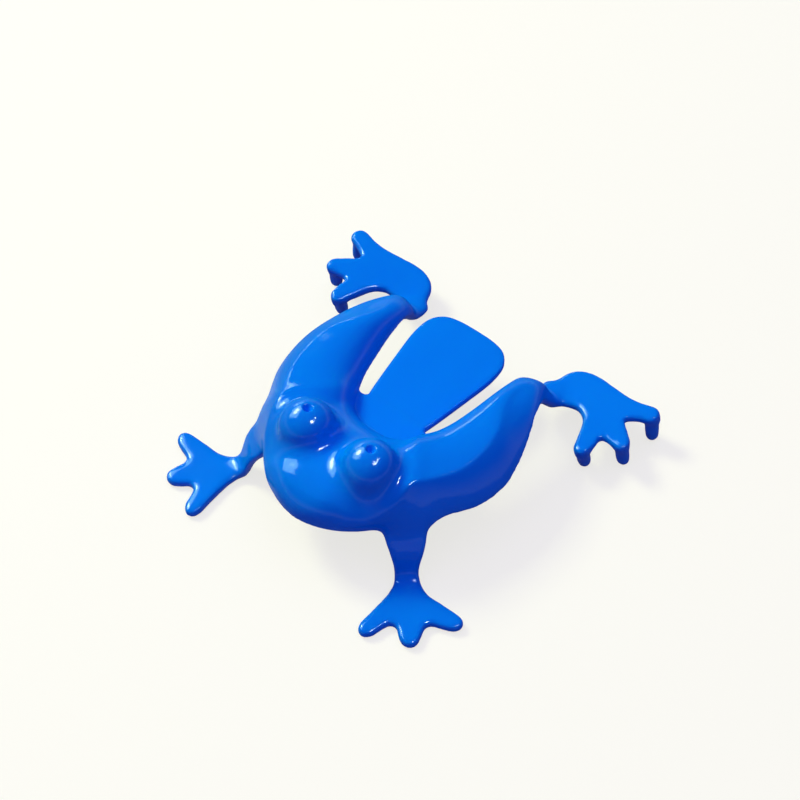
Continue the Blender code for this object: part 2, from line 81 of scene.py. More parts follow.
@dataclass(frozen=True)
class ShellSizes:
    """Sizes of the shell, and its guide curves from the nose round to the ankle.

    Rim and crease rows are shares of the half width, of the length behind the nose and
    of the shoulder height; hollow rows leave out the height, which hollow_height gives as a
    share of the panel's.  A swell row places the two handles of a station's top: how far the
    first lies from the crease towards the hollow, and its height, then the same for the
    second from the hollow.  stand says how upright the wall is, and drop how many walls the
    inner hollow edge lies below the outer one.
    """

    half_width: float = 19.3 * MM
    length: float = 41.8 * MM
    shoulder: float = 15.5 * MM
    nose_y: float = -22.45 * MM
    wall: float = 1.2 * MM
    bulge: float = 0.7 * MM
    panel: float = 9.6 * MM
    hinge_share: float = 0.539
    root_half: float = 5.1 * MM
    slot_depth: float = 0.35 * MM
    tab: float = 2.4 * MM
    rim: Shares = (
        (0.0, 0.014, 0.555), (0.166, 0.026, 0.555), (0.33, 0.064, 0.55), (0.461, 0.115, 0.535),
        (0.552, 0.154, 0.525), (0.691, 0.202, 0.509), (0.796, 0.257, 0.522), (0.838, 0.327, 0.548),
        (0.959, 0.44, 0.509), (1.0, 0.545, 0.522), (0.98, 0.634, 0.574), (0.917, 0.733, 0.626),
        (0.833, 0.829, 0.652), (0.77, 0.908, 0.568), (0.739, 0.956, 0.417), (0.74, 1.0, 0.25),
    )
    crease: Shares = (
        (0.0, 0.018, 0.72), (0.185, 0.028, 0.72), (0.335, 0.072, 0.72), (0.461, 0.128, 0.73),
        (0.534, 0.185, 0.865), (0.571, 0.247, 0.97), (0.618, 0.296, 0.96), (0.676, 0.348, 0.915),
        (0.765, 0.442, 0.868), (0.791, 0.543, 0.861), (0.765, 0.637, 0.874), (0.686, 0.73, 0.855),
        (0.644, 0.827, 0.776), (0.671, 0.925, 0.67), (0.681, 0.978, 0.51), (0.691, 1.0, 0.3),
    )
    hollow: Shares = (
        (0.0, 0.435), (0.1, 0.437), (0.183, 0.449), (0.246, 0.469),
        (0.278, 0.488), (0.299, 0.505), (0.314, 0.519), (0.33, 0.536),
        (0.356, 0.565), (0.393, 0.615), (0.43, 0.69), (0.466, 0.771),
        (0.49, 0.853), (0.498, 0.918), (0.534, 0.961), (0.592, 1.0),
    )
    hollow_height: tuple[float, ...] = (1.0,) * 12 + (0.99, 0.93, 0.74, 0.45)
    swell: Shares = (
        (0.15, 1.065, 0.1, 1.015), (0.15, 1.065, 0.1, 1.015), (0.18, 1.04, 0.1, 1.015),
        (0.25, 0.98, 0.1, 1.0), (0.33, 0.99, 0.08, 0.985), (0.36, 0.985, 0.07, 0.96),
        (0.36, 0.965, 0.08, 0.95), (0.36, 0.94, 0.12, 0.94), (0.34, 0.912, 0.16, 0.93),
        (0.34, 0.905, 0.18, 0.92), (0.34, 0.91, 0.18, 0.9), (0.3, 0.885, 0.14, 0.86),
        (0.3, 0.809, 0.05, 0.757), (0.3, 0.7, 0.05, 0.67), (0.3, 0.53, 0.05, 0.51),
        (0.3, 0.305, 0.05, 0.3),
    )
    stand: tuple[float, ...] = (1.0,) * 13 + (0.6, 0.2, 0.0)
    drop: tuple[float, ...] = (1.0,) * 8 + (0.55, 0.25, 0.15, 0.15, 0.2, 0.5, 0.9, 1.0)
    crease_draw: float = 0.75
    hollow_draw: float = 0.85
    panel_stations: int = 7
    station_steps: int = 8
    wall_steps: int = 8
    top_steps: int = 28
    panel_steps: int = 8
    edge_steps: int = 6
    edge_draw: float = 0.05 * MM
    edge_bulge: float = 0.42 * MM
    merge: float = 0.005 * MM

    @property
    def hinge_y(self) -> float:
        """Place of the line at which the tongue bends."""
        return self.nose_y + self.length * self.hinge_share

    @property
    def ankle_y(self) -> float:
        """Place of the shell's rear end."""
        return self.nose_y + self.length


@dataclass(frozen=True)
class EyeSizes:
    """Sizes of one ball eye, of the flare at its foot and of its pupil dimple."""

    radius: float = 4.05 * MM
    spacing: float = 11.0 * MM
    setback: float = 10.3 * MM
    top: float = 18.7 * MM
    foot_height: float = 11.0 * MM
    foot_sink: float = 0.5 * MM
    low_angle: float = math.radians(14)
    flare_start: float = 1.4 * MM
    flare_middle: float = 4.6 * MM
    flare_rise: float = 1.7 * MM
    flare_end: float = 7.2 * MM
    flare_angle: float = math.radians(-140)
    flare_least: float = 0.45
    flare_lead: float = 0.2
    flare_span: float = 0.9
    flare_steps: int = 16
    ball_steps: int = 28
    ball_segments: int = 72
    crown: float = 0.02
    hollow_wall: float = 1.6 * MM
    hollow_foot: float = 0.9
    hollow_low: float = math.radians(-30)
    hollow_turn: float = math.radians(118)
    hollow_steps: int = 24
    hollow_segments: int = 48
    pupil_radius: float = 0.72 * MM
    pupil_depth: float = 1.05 * MM
    pupil_setback: float = 0.35 * MM
    pupil_lip: float = 1.2
    pupil_zone: float = 1.8
    skin_share: float = 0.9


@dataclass(frozen=True)
class FrontLegSizes:
    """Sizes of one front leg, a steep strip that ends in a flat three-toed foot."""

    length: float = 12.3 * MM
    width: float = 12.4 * MM
    thickness: float = 1.5 * MM
    foot_x: float = 13.317 * MM
    foot_y: float = -26.75 * MM
    strip: float = 1.3 * MM
    rounding: float = 0.5 * MM
    first_station: int = 4
    last_station: int = 6
    steps: int = 10
    outline: Shares = (
        (0.0, 0.845), (0.055, 0.75), (0.08, 0.625), (0.1, 0.46), (0.1, 0.235), (0.097, 0.098),
        (0.137, 0.016), (0.218, 0.0), (0.29, 0.074), (0.323, 0.205), (0.363, 0.295), (0.435, 0.31),
        (0.524, 0.238), (0.613, 0.19), (0.702, 0.213), (0.742, 0.287), (0.718, 0.393), (0.685, 0.5),
        (0.718, 0.574), (0.84, 0.623), (0.944, 0.672), (0.992, 0.746), (0.968, 0.82), (0.887, 0.85),
        (0.669, 0.85), (0.492, 0.857), (0.371, 0.893), (0.274, 0.95), (0.218, 1.0),
    )
    inner: Shares = ((-0.08, 0.82, 0.58), (-0.015, 0.8, 0.39), (0.02, 0.785, 0.22), (0.06, 0.72, 0.145))
    outer: Shares = ((0.23, 1.085, 0.58), (0.235, 1.01, 0.39), (0.25, 0.945, 0.22), (0.3, 0.86, 0.145))


@dataclass(frozen=True)
class RearFootSizes:
    """Sizes of one rear foot, a raised webbed plate that stands on three toe tips."""

    length: float = 13.3 * MM
    width: float = 16.6 * MM
    height: float = 4.4 * MM
    thickness: float = 1.5 * MM
    foot_x: float = 11.484 * MM
    foot_y: float = 13.15 * MM
    rise: float = 2.1 * MM
    flat_share: float = 0.25
    rounding: float = 0.5 * MM
    toe_tip: float = 0.95 * MM
    toe_top: float = 1.28 * MM
    toe_knee: float = 0.3
    toe_steps: int = 6
    neck_reach: float = 1.4 * MM
    ankle_half: float = 2.35 * MM
    ankle_thick: float = 0.95 * MM
    ankle: Shares = (
        (12.3, 15.2, 8.2), (12.55, 16.9, 6.6), (12.75, 18.3, 4.9), (12.85, 19.6, 3.8),
        (12.9, 21.6, 3.65),
    )
    outline: Shares = (
        (0.0, 0.49), (0.01, 0.61), (0.035, 0.785), (0.09, 0.9), (0.19, 0.975), (0.315, 1.0),
        (0.47, 0.98), (0.65, 0.95), (0.775, 0.955), (0.86, 0.985), (0.93, 1.0), (0.985, 0.945),
        (1.0, 0.87), (0.975, 0.8), (0.905, 0.775), (0.84, 0.745), (0.775, 0.68), (0.81, 0.615),
        (0.875, 0.545), (0.94, 0.475), (0.965, 0.395), (0.945, 0.32), (0.905, 0.295), (0.825, 0.315),
        (0.745, 0.34), (0.715, 0.295), (0.725, 0.21), (0.73, 0.1), (0.705, 0.035), (0.65, 0.0),
        (0.585, 0.04), (0.555, 0.155), (0.525, 0.275), (0.475, 0.42), (0.41, 0.5), (0.345, 0.525),
        (0.27, 0.5), (0.22, 0.455), (0.165, 0.49),
    )
    toes: Shares = (
        (0.95, 0.905, 0.925, 0.9, 0.75, 0.84), (0.904, 0.44, 0.887, 0.405, 0.76, 0.51),
        (0.655, 0.165, 0.65, 0.105, 0.62, 0.26),
    )


@dataclass(frozen=True)
class TongueSizes:
    """Sizes of the press tongue, which carries on from the flat panel behind the head."""

    length: float = 19.0 * MM
    root_half: float = 5.1 * MM
    half_width: float = 7.05 * MM
    thickness: float = 1.2 * MM
    rounding: float = 0.38 * MM
    bend: float = 7.0 * MM
    cut: float = 0.6 * MM
    tip_taper: float = 0.9
    outline: Shares = (
        (0.79, 0.16), (0.91, 0.44), (0.985, 0.63), (1.0, 0.75), (0.965, 0.85),
        (0.86, 0.92), (0.68, 0.97), (0.38, 0.995), (0.0, 1.0),
    )


def spline(points: list[Vector], steps: int, lead: Vector | None = None) -> list[Vector]:
    """Runs a Catmull-Rom curve through points.

    Args:
        points: The points to pass.
        steps: How many equal steps lie between two of them.
        lead: The point that comes before the first, if the curve goes on there.

    Returns:
        The points of the curve, both ends included.
    """
    padded = [lead or points[0]] + points + [points[-1]]
    curve = []
    for before, start, end, after in zip(padded, padded[1:], padded[2:], padded[3:]):
        for step in range(steps):
            t = step / steps
            curve.append(0.5 * (2 * start + (end - before) * t
                                + (2 * before - 5 * start + 4 * end - after) * t ** 2
                                + (3 * start - before - 3 * end + after) * t ** 3))
    curve.append(points[-1].copy())
    return curve


def bezier(points: list[Vector], t: float) -> Vector:
    """Finds a point of a Bezier curve.

    Args:
        points: The control points.
        t: The place along the curve, from 0 to 1.

    Returns:
        The point there.
    """
    while len(points) > 1:
        points = [a.lerp(b, t) for a, b in zip(points, points[1:])]
    return points[0]


def smooth(share: float) -> float:
    """Eases a share from 0 to 1 in and out."""
    return share * share * (3 - 2 * share)


def mirror_point(point: Vector) -> Vector:
    """Mirrors a point in the toy's middle plane."""
    return Vector((-point.x, point.y, point.z))


def mesh_from(bm: bmesh.types.BMesh, side: Side = Side.LEFT) -> bpy.types.Mesh:
    """Turns an edit mesh of the left side into a mesh of either side.

    Args:
        bm: The edit mesh, which is used up.
        side: The side to make.

    Returns:
        The new mesh.
    """
    if side is Side.RIGHT:
        for vert in bm.verts:
            vert.co.x = -vert.co.x
        bmesh.ops.reverse_faces(bm, faces=bm.faces)
    mesh = bpy.data.meshes.new("part")
    bm.to_mesh(mesh)
    bm.free()
    return mesh


def add_faces(bm: bmesh.types.BMesh, rows: list[Ring], flip: bool = False) -> None:
    """Fills in the faces between rows of points.

    Args:
        bm: The edit mesh.
        rows: The rows, all of one length.
        flip: Whether the faces look the other way.
    """
    for row, following in zip(rows, rows[1:]):
        for i in range(len(row) - 1):
            corners = (row[i], following[i], following[i + 1], row[i + 1])
            bm.faces.new(tuple(reversed(corners)) if flip else corners)


def join_rings(bm: bmesh.types.BMesh, rings: list[Ring]) -> None:
    """Skins a stack of closed rings and caps both ends.

    Args:
        bm: The edit mesh.
        rings: The rings from the bottom up, all of one length.
    """
    for lower, upper in zip(rings, rings[1:]):
        for i in range(len(lower)):
            after = (i + 1) % len(lower)
            bm.faces.new((lower[i], lower[after], upper[after], upper[i]))
    bm.faces.new(list(reversed(rings[0])))
    bm.faces.new(rings[-1])


def box_mesh(low: Vector, high: Vector) -> bpy.types.Mesh:
    """Builds a box for joining or cutting.

    Args:
        low: The lowest corner.
        high: The highest corner.

    Returns:
        The mesh.
    """
    bm = bmesh.new()
    bmesh.ops.create_cube(bm, size=1.0)
    for vert in bm.verts:
        vert.co = Vector(tuple(high[i] if vert.co[i] > 0 else low[i] for i in range(3)))
    return mesh_from(bm)


@dataclass
class Shell:
    """Head, shoulders and thighs as one thin wall, with the flat panel behind the head."""

    sizes: ShellSizes = field(default_factory=ShellSizes)

    def point(self, shares: tuple[float, ...]) -> Vector:
        """Places a row of a guide table."""
        s = self.sizes
        return Vector((s.half_width * shares[0], s.nose_y + s.length * shares[1],
                       s.shoulder * shares[2]))

    def outer_guides(self) -> list[list[Vector]]:
        """Places the guides of the outside.

        Returns:
            Rim, crease, the two swell handles and the hollow edge, station by station.
        """
        s = self.sizes
        rims = [self.point(row) for row in s.rim]
        creases = [self.point(row) for row in s.crease]
        hollows, first, second = [], [], []
        for (x_share, y_share), height_share in zip(s.hollow, s.hollow_height):
            hollow = self.point((x_share, y_share, 0.0))
            hollow.z = s.panel * height_share
            hollows.append(hollow)
        for crease, hollow, swell in zip(creases, hollows, s.swell):
            near_crease = crease.lerp(hollow, swell[0])
            near_crease.z = s.shoulder * swell[1]
            near_hollow = hollow.lerp(crease, swell[2])
            near_hollow.z = s.shoulder * swell[3]
            first.append(near_crease)
            second.append(near_hollow)
        return [rims, creases, first, second, hollows]

    def inner_guides(self, guides: list[list[Vector]]) -> list[list[Vector]]:
        """Moves the guides to the inside of the wall.

        Args:
            guides: The guides of the outside.

        Returns:
            The same guides, sideways from the wall where it stands up and below it elsewhere.
        """
        s = self.sizes
        down = Vector((0.0, 0.0, -s.wall))
        rims = guides[0]
        moved = []
        for index, (rim, crease, first, second, hollow) in enumerate(zip(*guides)):
            before = rims[index - 1] if index else mirror_point(rims[1])
            along = rims[min(index + 1, len(rims) - 1)] - before
            inward = Vector((-along.y, along.x, 0.0)).normalized() * s.wall
            back = Vector((crease.x - hollow.x, crease.y - hollow.y, 0.0)).normalized() * s.wall
            stand = s.stand[index]
            moved.append([
                rim + inward * stand + down * (1 - stand),
                crease + inward * stand * s.crease_draw + down,
                first + down,
                second + back * stand * s.hollow_draw + down * s.crease_draw,
                hollow + back * stand * s.hollow_draw + down * s.drop[index],
            ])
        return [list(guide) for guide in zip(*moved)]

    def section(self, rim: Vector, crease: Vector, first: Vector, second: Vector,
                hollow: Vector) -> list[Vector]:
        """Runs one section over the wall and the top.

        Args:
            rim: The lower edge.
            crease: The edge between wall and top.
            first: The swell's handle near the crease.
            second: The swell's handle near the hollow.
            hollow: The edge of the hollow.

        Returns:
            The section's points, from the rim to the hollow edge.
        """
        s = self.sizes
        outward = Vector((rim.x - crease.x, rim.y - crease.y, 0.0))
        if outward.length > 0:
            outward.normalize()
        slope = (crease - rim).normalized()
        normal = (outward - slope * outward.dot(slope)).normalized()
        wall = [rim, rim.lerp(crease, 0.5) + normal * s.bulge, crease]
        points = [bezier(wall, step / s.wall_steps) for step in range(s.wall_steps)]
        top = [crease, first, second, hollow]
        points += [bezier(top, step / s.top_steps) for step in range(s.top_steps + 1)]
        return points

    def rows(self, guides: list[list[Vector]]) -> list[list[Vector]]:
        """Runs a section at and between the stations of one skin's five guides."""
        curves = [spline(g, self.sizes.station_steps, lead=mirror_point(g[1])) for g in guides]
        return [self.section(*stations) for stations in zip(*curves)]

    def panel_edge(self, count: int, end: Vector, height: float) -> list[Vector]:
        """Runs along the panel's rear edge: half the tab's width, then the slot's front end.

        Args:
            count: How many points are wanted.
            end: Where the slot's front end meets the hollow edge.
            height: The height of the edge.

        Returns:
            The points, from the middle outward.
        """
        s = self.sizes
        corner = Vector((s.root_half, s.hinge_y, height))
        bend = Vector(((corner.x + end.x) / 2, s.hinge_y - s.slot_depth, height))
        straight = count * 2 // 3
        edge = [Vector((corner.x * i / straight, s.hinge_y, height)) for i in range(straight)]
        curved = count - straight
        return edge + [bezier([corner, bend, end], i / curved) for i in range(curved)]

    def add_skin(self, bm: bmesh.types.BMesh, rows: list[list[Vector]], height: float,
                 inside: bool) -> list[BorderPair]:
        """Adds the faces of one skin of the wall.

        Args:
            bm: The edit mesh.
            rows: The sections of the skin.
            height: The height of the panel in this skin.
            inside: Whether the faces look into the shell.

        Returns:
            The free border, from the nose round to the panel, each point with its neighbour
            in the skin.
        """
        s = self.sizes
        last = s.panel_stations * s.station_steps
        grid = [[bm.verts.new(point) for point in row] for row in rows]
        closing = grid[last][-1]
        strips = []
        for row, edge in zip(grid, self.panel_edge(last, closing.co, height)):
            strip = [row[-1]]
            for step in range(1, s.panel_steps + 1):
                strip.append(bm.verts.new(row[-1].co.lerp(edge, step / s.panel_steps)))
            strips.append(strip)
        add_faces(bm, grid, inside)
        add_faces(bm, strips, inside)
        for near, far in zip(strips[-1], strips[-1][1:]):
            bm.faces.new((far, closing, near) if inside else (near, closing, far))
        border = [(row[0], row[1]) for row in grid] + list(zip(grid[-1], grid[-2]))[1:-1]
        border += [(row[-1], row[-2]) for row in reversed(grid[last:])]
        return border + [(strip[-1], strip[-2]) for strip in reversed(strips)]

    def close_border(self, bm: bmesh.types.BMesh, outer: list[BorderPair],
                     inner: list[BorderPair]) -> None:
        """Joins the two skins along their border with a round edge.

        Args:
            bm: The edit mesh.
            outer: The border of the outer skin, each point with its neighbour in the skin.
            inner: The border of the inner skin.
        """
        s = self.sizes
        away = []
        for near, far in zip(outer, inner):
            slopes = [(edge.co - inside.co).normalized() for edge, inside in (near, far)]
            away.append((slopes[0] + slopes[1]).normalized())
        for border in (outer, inner):
            for (vert, _), direction in zip(border, away):
                vert.co -= direction * s.edge_draw
        arcs = []
        for (near, _), (far, _), direction in zip(outer, inner, away):
            arc = [near]
            for step in range(1, s.edge_steps):
                turn = math.pi * step / s.edge_steps
                middle = near.co.lerp(far.co, (1 - math.cos(turn)) / 2)
                point = middle + direction * s.edge_bulge * math.sin(turn)
                if abs(near.co.x) < 1e-9 and abs(far.co.x) < 1e-9:
                    point.x = 0.0
                arc.append(bm.verts.new(point))
            arcs.append(arc + [far])
        for arc, following in zip(arcs, arcs[1:]):
            for i in range(s.edge_steps):
                bm.faces.new((arc[i], arc[i + 1], following[i + 1], following[i]))

    def mesh(self) -> bpy.types.Mesh:
        """Builds the closed wall of both halves.

        Returns:
            The mesh.
        """
        s = self.sizes
        guides = self.outer_guides()
        bm = bmesh.new()
        outer = self.add_skin(bm, self.rows(guides), s.panel, False)
        inner = self.add_skin(bm, self.rows(self.inner_guides(guides)), s.panel - s.wall, True)
        self.close_border(bm, outer, inner)
        left = list(bm.faces)
        copy = bmesh.ops.duplicate(bm, geom=list(bm.verts) + list(bm.edges) + left)
        verts = [item for item in copy["geom"] if isinstance(item, bmesh.types.BMVert)]
        faces = [item for item in copy["geom"] if isinstance(item, bmesh.types.BMFace)]
        for vert in verts:
            vert.co.x = -vert.co.x
        bmesh.ops.reverse_faces(bm, faces=faces)
        bmesh.ops.remove_doubles(bm, verts=bm.verts, dist=s.merge)
        return mesh_from(bm)

    def tab_mesh(self) -> bpy.types.Mesh:
        """Builds the stub that carries the panel a little past the hinge."""
        s = self.sizes
        return box_mesh(Vector((-s.root_half, s.hinge_y - s.tab, s.panel - s.wall)),
                        Vector((s.root_half, s.hinge_y + s.tab, s.panel)))


def revolved(profile: list[tuple[float, float]], centre: Vector, segments: int,
             neck: float = 0.0, reach: Callable[[float], float] | None = None) -> bpy.types.Mesh:
    """Turns a profile about an upright axis into a closed body.

    Args:
        profile: Radius and height of each ring, from the bottom up.
        centre: The point that the heights are measured from.
        segments: How many segments go round.
        neck: The radius beyond which the body may reach less far to some sides.
        reach: Gives the share of the radius beyond the neck that stays, for an angle.

    Returns:
        The mesh.
    """
    bm = bmesh.new()
    rings = []
    for radius, height in profile:
        ring = []
        for segment in range(segments):
            angle = 2 * math.pi * segment / segments
            here = radius
            if reach and radius > neck:
                here = neck + (radius - neck) * reach(angle)
            offset = Vector((here * math.cos(angle), here * math.sin(angle), height))
            ring.append(bm.verts.new(centre + offset))
        rings.append(ring)
    join_rings(bm, rings)
    return mesh_from(bm)


def swept(path: list[Vector], widths: list[float], heights: list[float], side: Vector,
          segments: int = 24) -> bpy.types.Mesh:
    """Sweeps an oval along a path and rounds off both ends.

    Args:
        path: The middle of the body, from end to end.
        widths: Half the width at each point of the path.
        heights: Half the height at each point of the path.
        side: The direction of the width.
        segments: How many points go round.

    Returns:
        The mesh.
    """
    bm = bmesh.new()
    side = side.normalized()
    last = len(path) - 1
    rings = []

    def add_ring(centre: Vector, along: Vector, width: float, height: float) -> None:
        """Adds one ring of points.

        Args:
            centre: The ring's middle.
            along: The direction of the path there.
            width: Half the ring's width.
            height: Half the ring's height.
        """
        up = along.cross(side).normalized()
        ring = []
        for i in range(segments):
            turn = 2 * math.pi * i / segments
            offset = side * width * math.cos(turn) + up * height * math.sin(turn)
            ring.append(bm.verts.new(centre + offset))
        rings.append(ring)

    for index, point in enumerate(path):
        along = (path[min(index + 1, last)] - path[max(index - 1, 0)]).normalized()
        width, height = widths[index], heights[index]
        caps = [(math.sin(turn), min(width, height) * math.cos(turn))
                for turn in (math.pi / 2 * i / ROUND_STEPS for i in range(1, ROUND_STEPS))]
        if index == 0:
            for shrink, reach in caps:
                add_ring(point - along * reach, along, width * shrink, height * shrink)
        add_ring(point, along, width, height)
        if index == last:
            for shrink, reach in reversed(caps):
                add_ring(point + along * reach, along, width * shrink, height * shrink)
    join_rings(bm, rings)
    bmesh.ops.recalc_face_normals(bm, faces=bm.faces)
    return mesh_from(bm)


@dataclass
class Eye:
    """A ball eye on a flared foot, hollow underneath, with a dimple for its pupil."""

    side: Side
    sizes: EyeSizes = field(default_factory=EyeSizes)
    nose_y: float = ShellSizes.nose_y

    @property
    def centre(self) -> Vector:
        """Middle of the ball."""
        s = self.sizes
        return Vector((self.side.value * s.spacing / 2, self.nose_y + s.setback, s.top - s.radius))

    @property
    def pupil(self) -> Vector:
        """Middle of the dimple, on the ball."""
        s = self.sizes
        lean = math.asin(s.pupil_setback / s.radius)
        return self.centre + Vector((0.0, math.sin(lean), math.cos(lean))) * s.radius

    def reach(self, angle: float) -> float:
        """Finds how far the flare reaches to one side.

        Args:
            angle: The direction from the middle of the eye, from the frog's left.

        Returns:
            The share of the flare's width, widest towards the snout's middle.
        """
        s = self.sizes
        facing = angle if self.side is Side.LEFT else math.pi - angle
        share = (math.cos(facing - s.flare_angle) + s.flare_lead) / s.flare_span
        return s.flare_least + (1 - s.flare_least) * smooth(min(max(share, 0.0), 1.0))

    def ball(self) -> bpy.types.Mesh:
        """Builds the outside of the eye.

        Returns:
            The mesh of the ball, its flare and its foot.
        """
        s = self.sizes
        low = s.low_angle
        neck = Vector((s.radius * math.cos(low), s.radius * math.sin(low), 0.0))
        down = Vector((math.sin(low), -math.cos(low), 0.0))
        level = s.foot_height - self.centre.z
        flare = [neck, neck + down * s.flare_start,
                 Vector((s.flare_middle, level + s.flare_rise, 0.0)),
                 Vector((s.flare_end, level, 0.0))]
        profile = [(s.flare_end, level - s.foot_sink)]
        for step in range(s.flare_steps):
            point = bezier(flare, 1 - step / s.flare_steps)
            profile.append((point.x, point.y))
        for step in range(s.ball_steps):
            angle = low + (math.pi / 2 - low) * step / s.ball_steps
            profile.append((s.radius * math.cos(angle), s.radius * math.sin(angle)))
        profile.append((s.radius * s.crown, s.radius))
        return revolved(profile, self.centre, s.ball_segments, neck.x, self.reach)

    def hollow(self) -> bpy.types.Mesh:
        """Builds the room inside the eye, which opens downward.

        Returns:
            The mesh to cut away.
        """
        s = self.sizes
        radius = s.radius - s.hollow_wall
        drop = self.centre.z - s.foot_height + s.foot_sink * 3
        profile = [(radius * s.hollow_foot, -drop)]
        for step in range(s.hollow_steps):
            angle = s.hollow_low + s.hollow_turn * step / (s.hollow_steps - 1)
            profile.append((radius * math.cos(angle), radius * math.sin(angle)))
        return revolved(profile, self.centre, s.hollow_segments)


def inset_loop(points: list[Vector], distance: float) -> list[Vector]:
    """Moves a closed loop inward.

    Args:
        points: The loop, counter-clockwise from above.
        distance: How far each side moves.

    Returns:
        The moved loop.
    """
    moved = []
    for index, here in enumerate(points):
        arriving = (here - points[index - 1]).normalized()
        leaving = (points[(index + 1) % len(points)] - here).normalized()
        middle = (arriving + leaving).normalized()
        reach = distance / max(middle.dot(leaving), 0.5)
        moved.append(here + Vector((-middle.y, middle.x, 0.0)) * reach)
    return moved


def plate(outline: list[Vector], bottom: float, top: float, rounding: float) -> bmesh.types.BMesh:
    """Builds a plate with round long edges over an outline.

    Args:
        outline: The outline, counter-clockwise from above.
        bottom: Height of the lower face.
        top: Height of the upper face.
        rounding: Radius of the edges.

    Returns:
        The closed edit mesh.
    """
    bm = bmesh.new()
    levels = []
    turns = [math.pi / 2 * step / ROUND_STEPS for step in range(ROUND_STEPS + 1)]
    for turn in turns:
        levels.append((rounding * (1 - math.sin(turn)), bottom + rounding * (1 - math.cos(turn))))
    for turn in turns:
        levels.append((rounding * (1 - math.cos(turn)), top - rounding * (1 - math.sin(turn))))
    rings = []
    for inset, height in levels:
        ring = inset_loop(outline, inset)
        rings.append([bm.verts.new((point.x, point.y, height)) for point in ring])
    join_rings(bm, rings)
    bm.normal_update()
    bmesh.ops.triangulate(bm, faces=[face for face in bm.faces if len(face.verts) > 4])
    return bm


class Foot:
    """A foot whose tables hold shares of its own width and length."""

    sizes: FrontLegSizes | RearFootSizes

    def point(self, shares: tuple[float, ...], height: float = 0.0) -> Vector:
        """Places a row of a foot table at a height."""
        s = self.sizes
        return Vector((s.foot_x + s.width * shares[0], s.foot_y + s.length * shares[1], height))


@dataclass
class FrontLeg(Foot):
    """A steep strip from the shoulder down to a flat three-toed foot."""

    side: Side
    shell: Shell
    sizes: FrontLegSizes = field(default_factory=FrontLegSizes)

    def foot(self) -> bpy.types.Mesh:
        """Builds the foot plate."""
        s = self.sizes
        curve = spline([self.point(row) for row in s.outline], CURVE_STEPS)
        return mesh_from(plate(curve, 0.0, s.thickness, s.rounding), self.side)

    def strip(self) -> bpy.types.Mesh:
        """Builds the strip, which starts inside the shell's wall.

        Returns:
            The mesh.
        """
        s = self.sizes
        steps = self.shell.sizes.station_steps
        sections = self.shell.rows(self.shell.outer_guides())
        inner, outer = ([self.point(row, self.shell.sizes.panel * row[2]) for row in rows]
                        for rows in (s.inner, s.outer))
        heads = sections[s.first_station * steps:s.last_station * steps + 1]
        columns = []
        for step, section in enumerate(heads):
            across = step / (len(heads) - 1)
            guide = [section[3], section[0]] + [a.lerp(b, across) for a, b in zip(inner, outer)]
            columns.append(spline(guide, s.steps))
        rows = list(zip(*columns))
        bm = bmesh.new()
        front = [[bm.verts.new(point) for point in row] for row in rows]
        back = []
        for index, row in enumerate(rows):
            above, below = rows[max(index - 1, 0)], rows[min(index + 1, len(rows) - 1)]
            middle = len(row) // 2
            along = below[middle] - above[middle]
            inward = (row[-1] - row[0]).cross(along).normalized()
            back.append([bm.verts.new(point + inward * s.strip) for point in row])
        add_faces(bm, front)
        add_faces(bm, back, True)
        borders = (
            (front[0], back[0]), (front[-1], back[-1]),
            ([row[0] for row in front], [row[0] for row in back]),
            ([row[-1] for row in front], [row[-1] for row in back]),
        )
        for near, far in borders:
            for i in range(len(near) - 1):
                bm.faces.new((near[i], near[i + 1], far[i + 1], far[i]))
        bmesh.ops.recalc_face_normals(bm, faces=bm.faces)
        return mesh_from(bm, self.side)


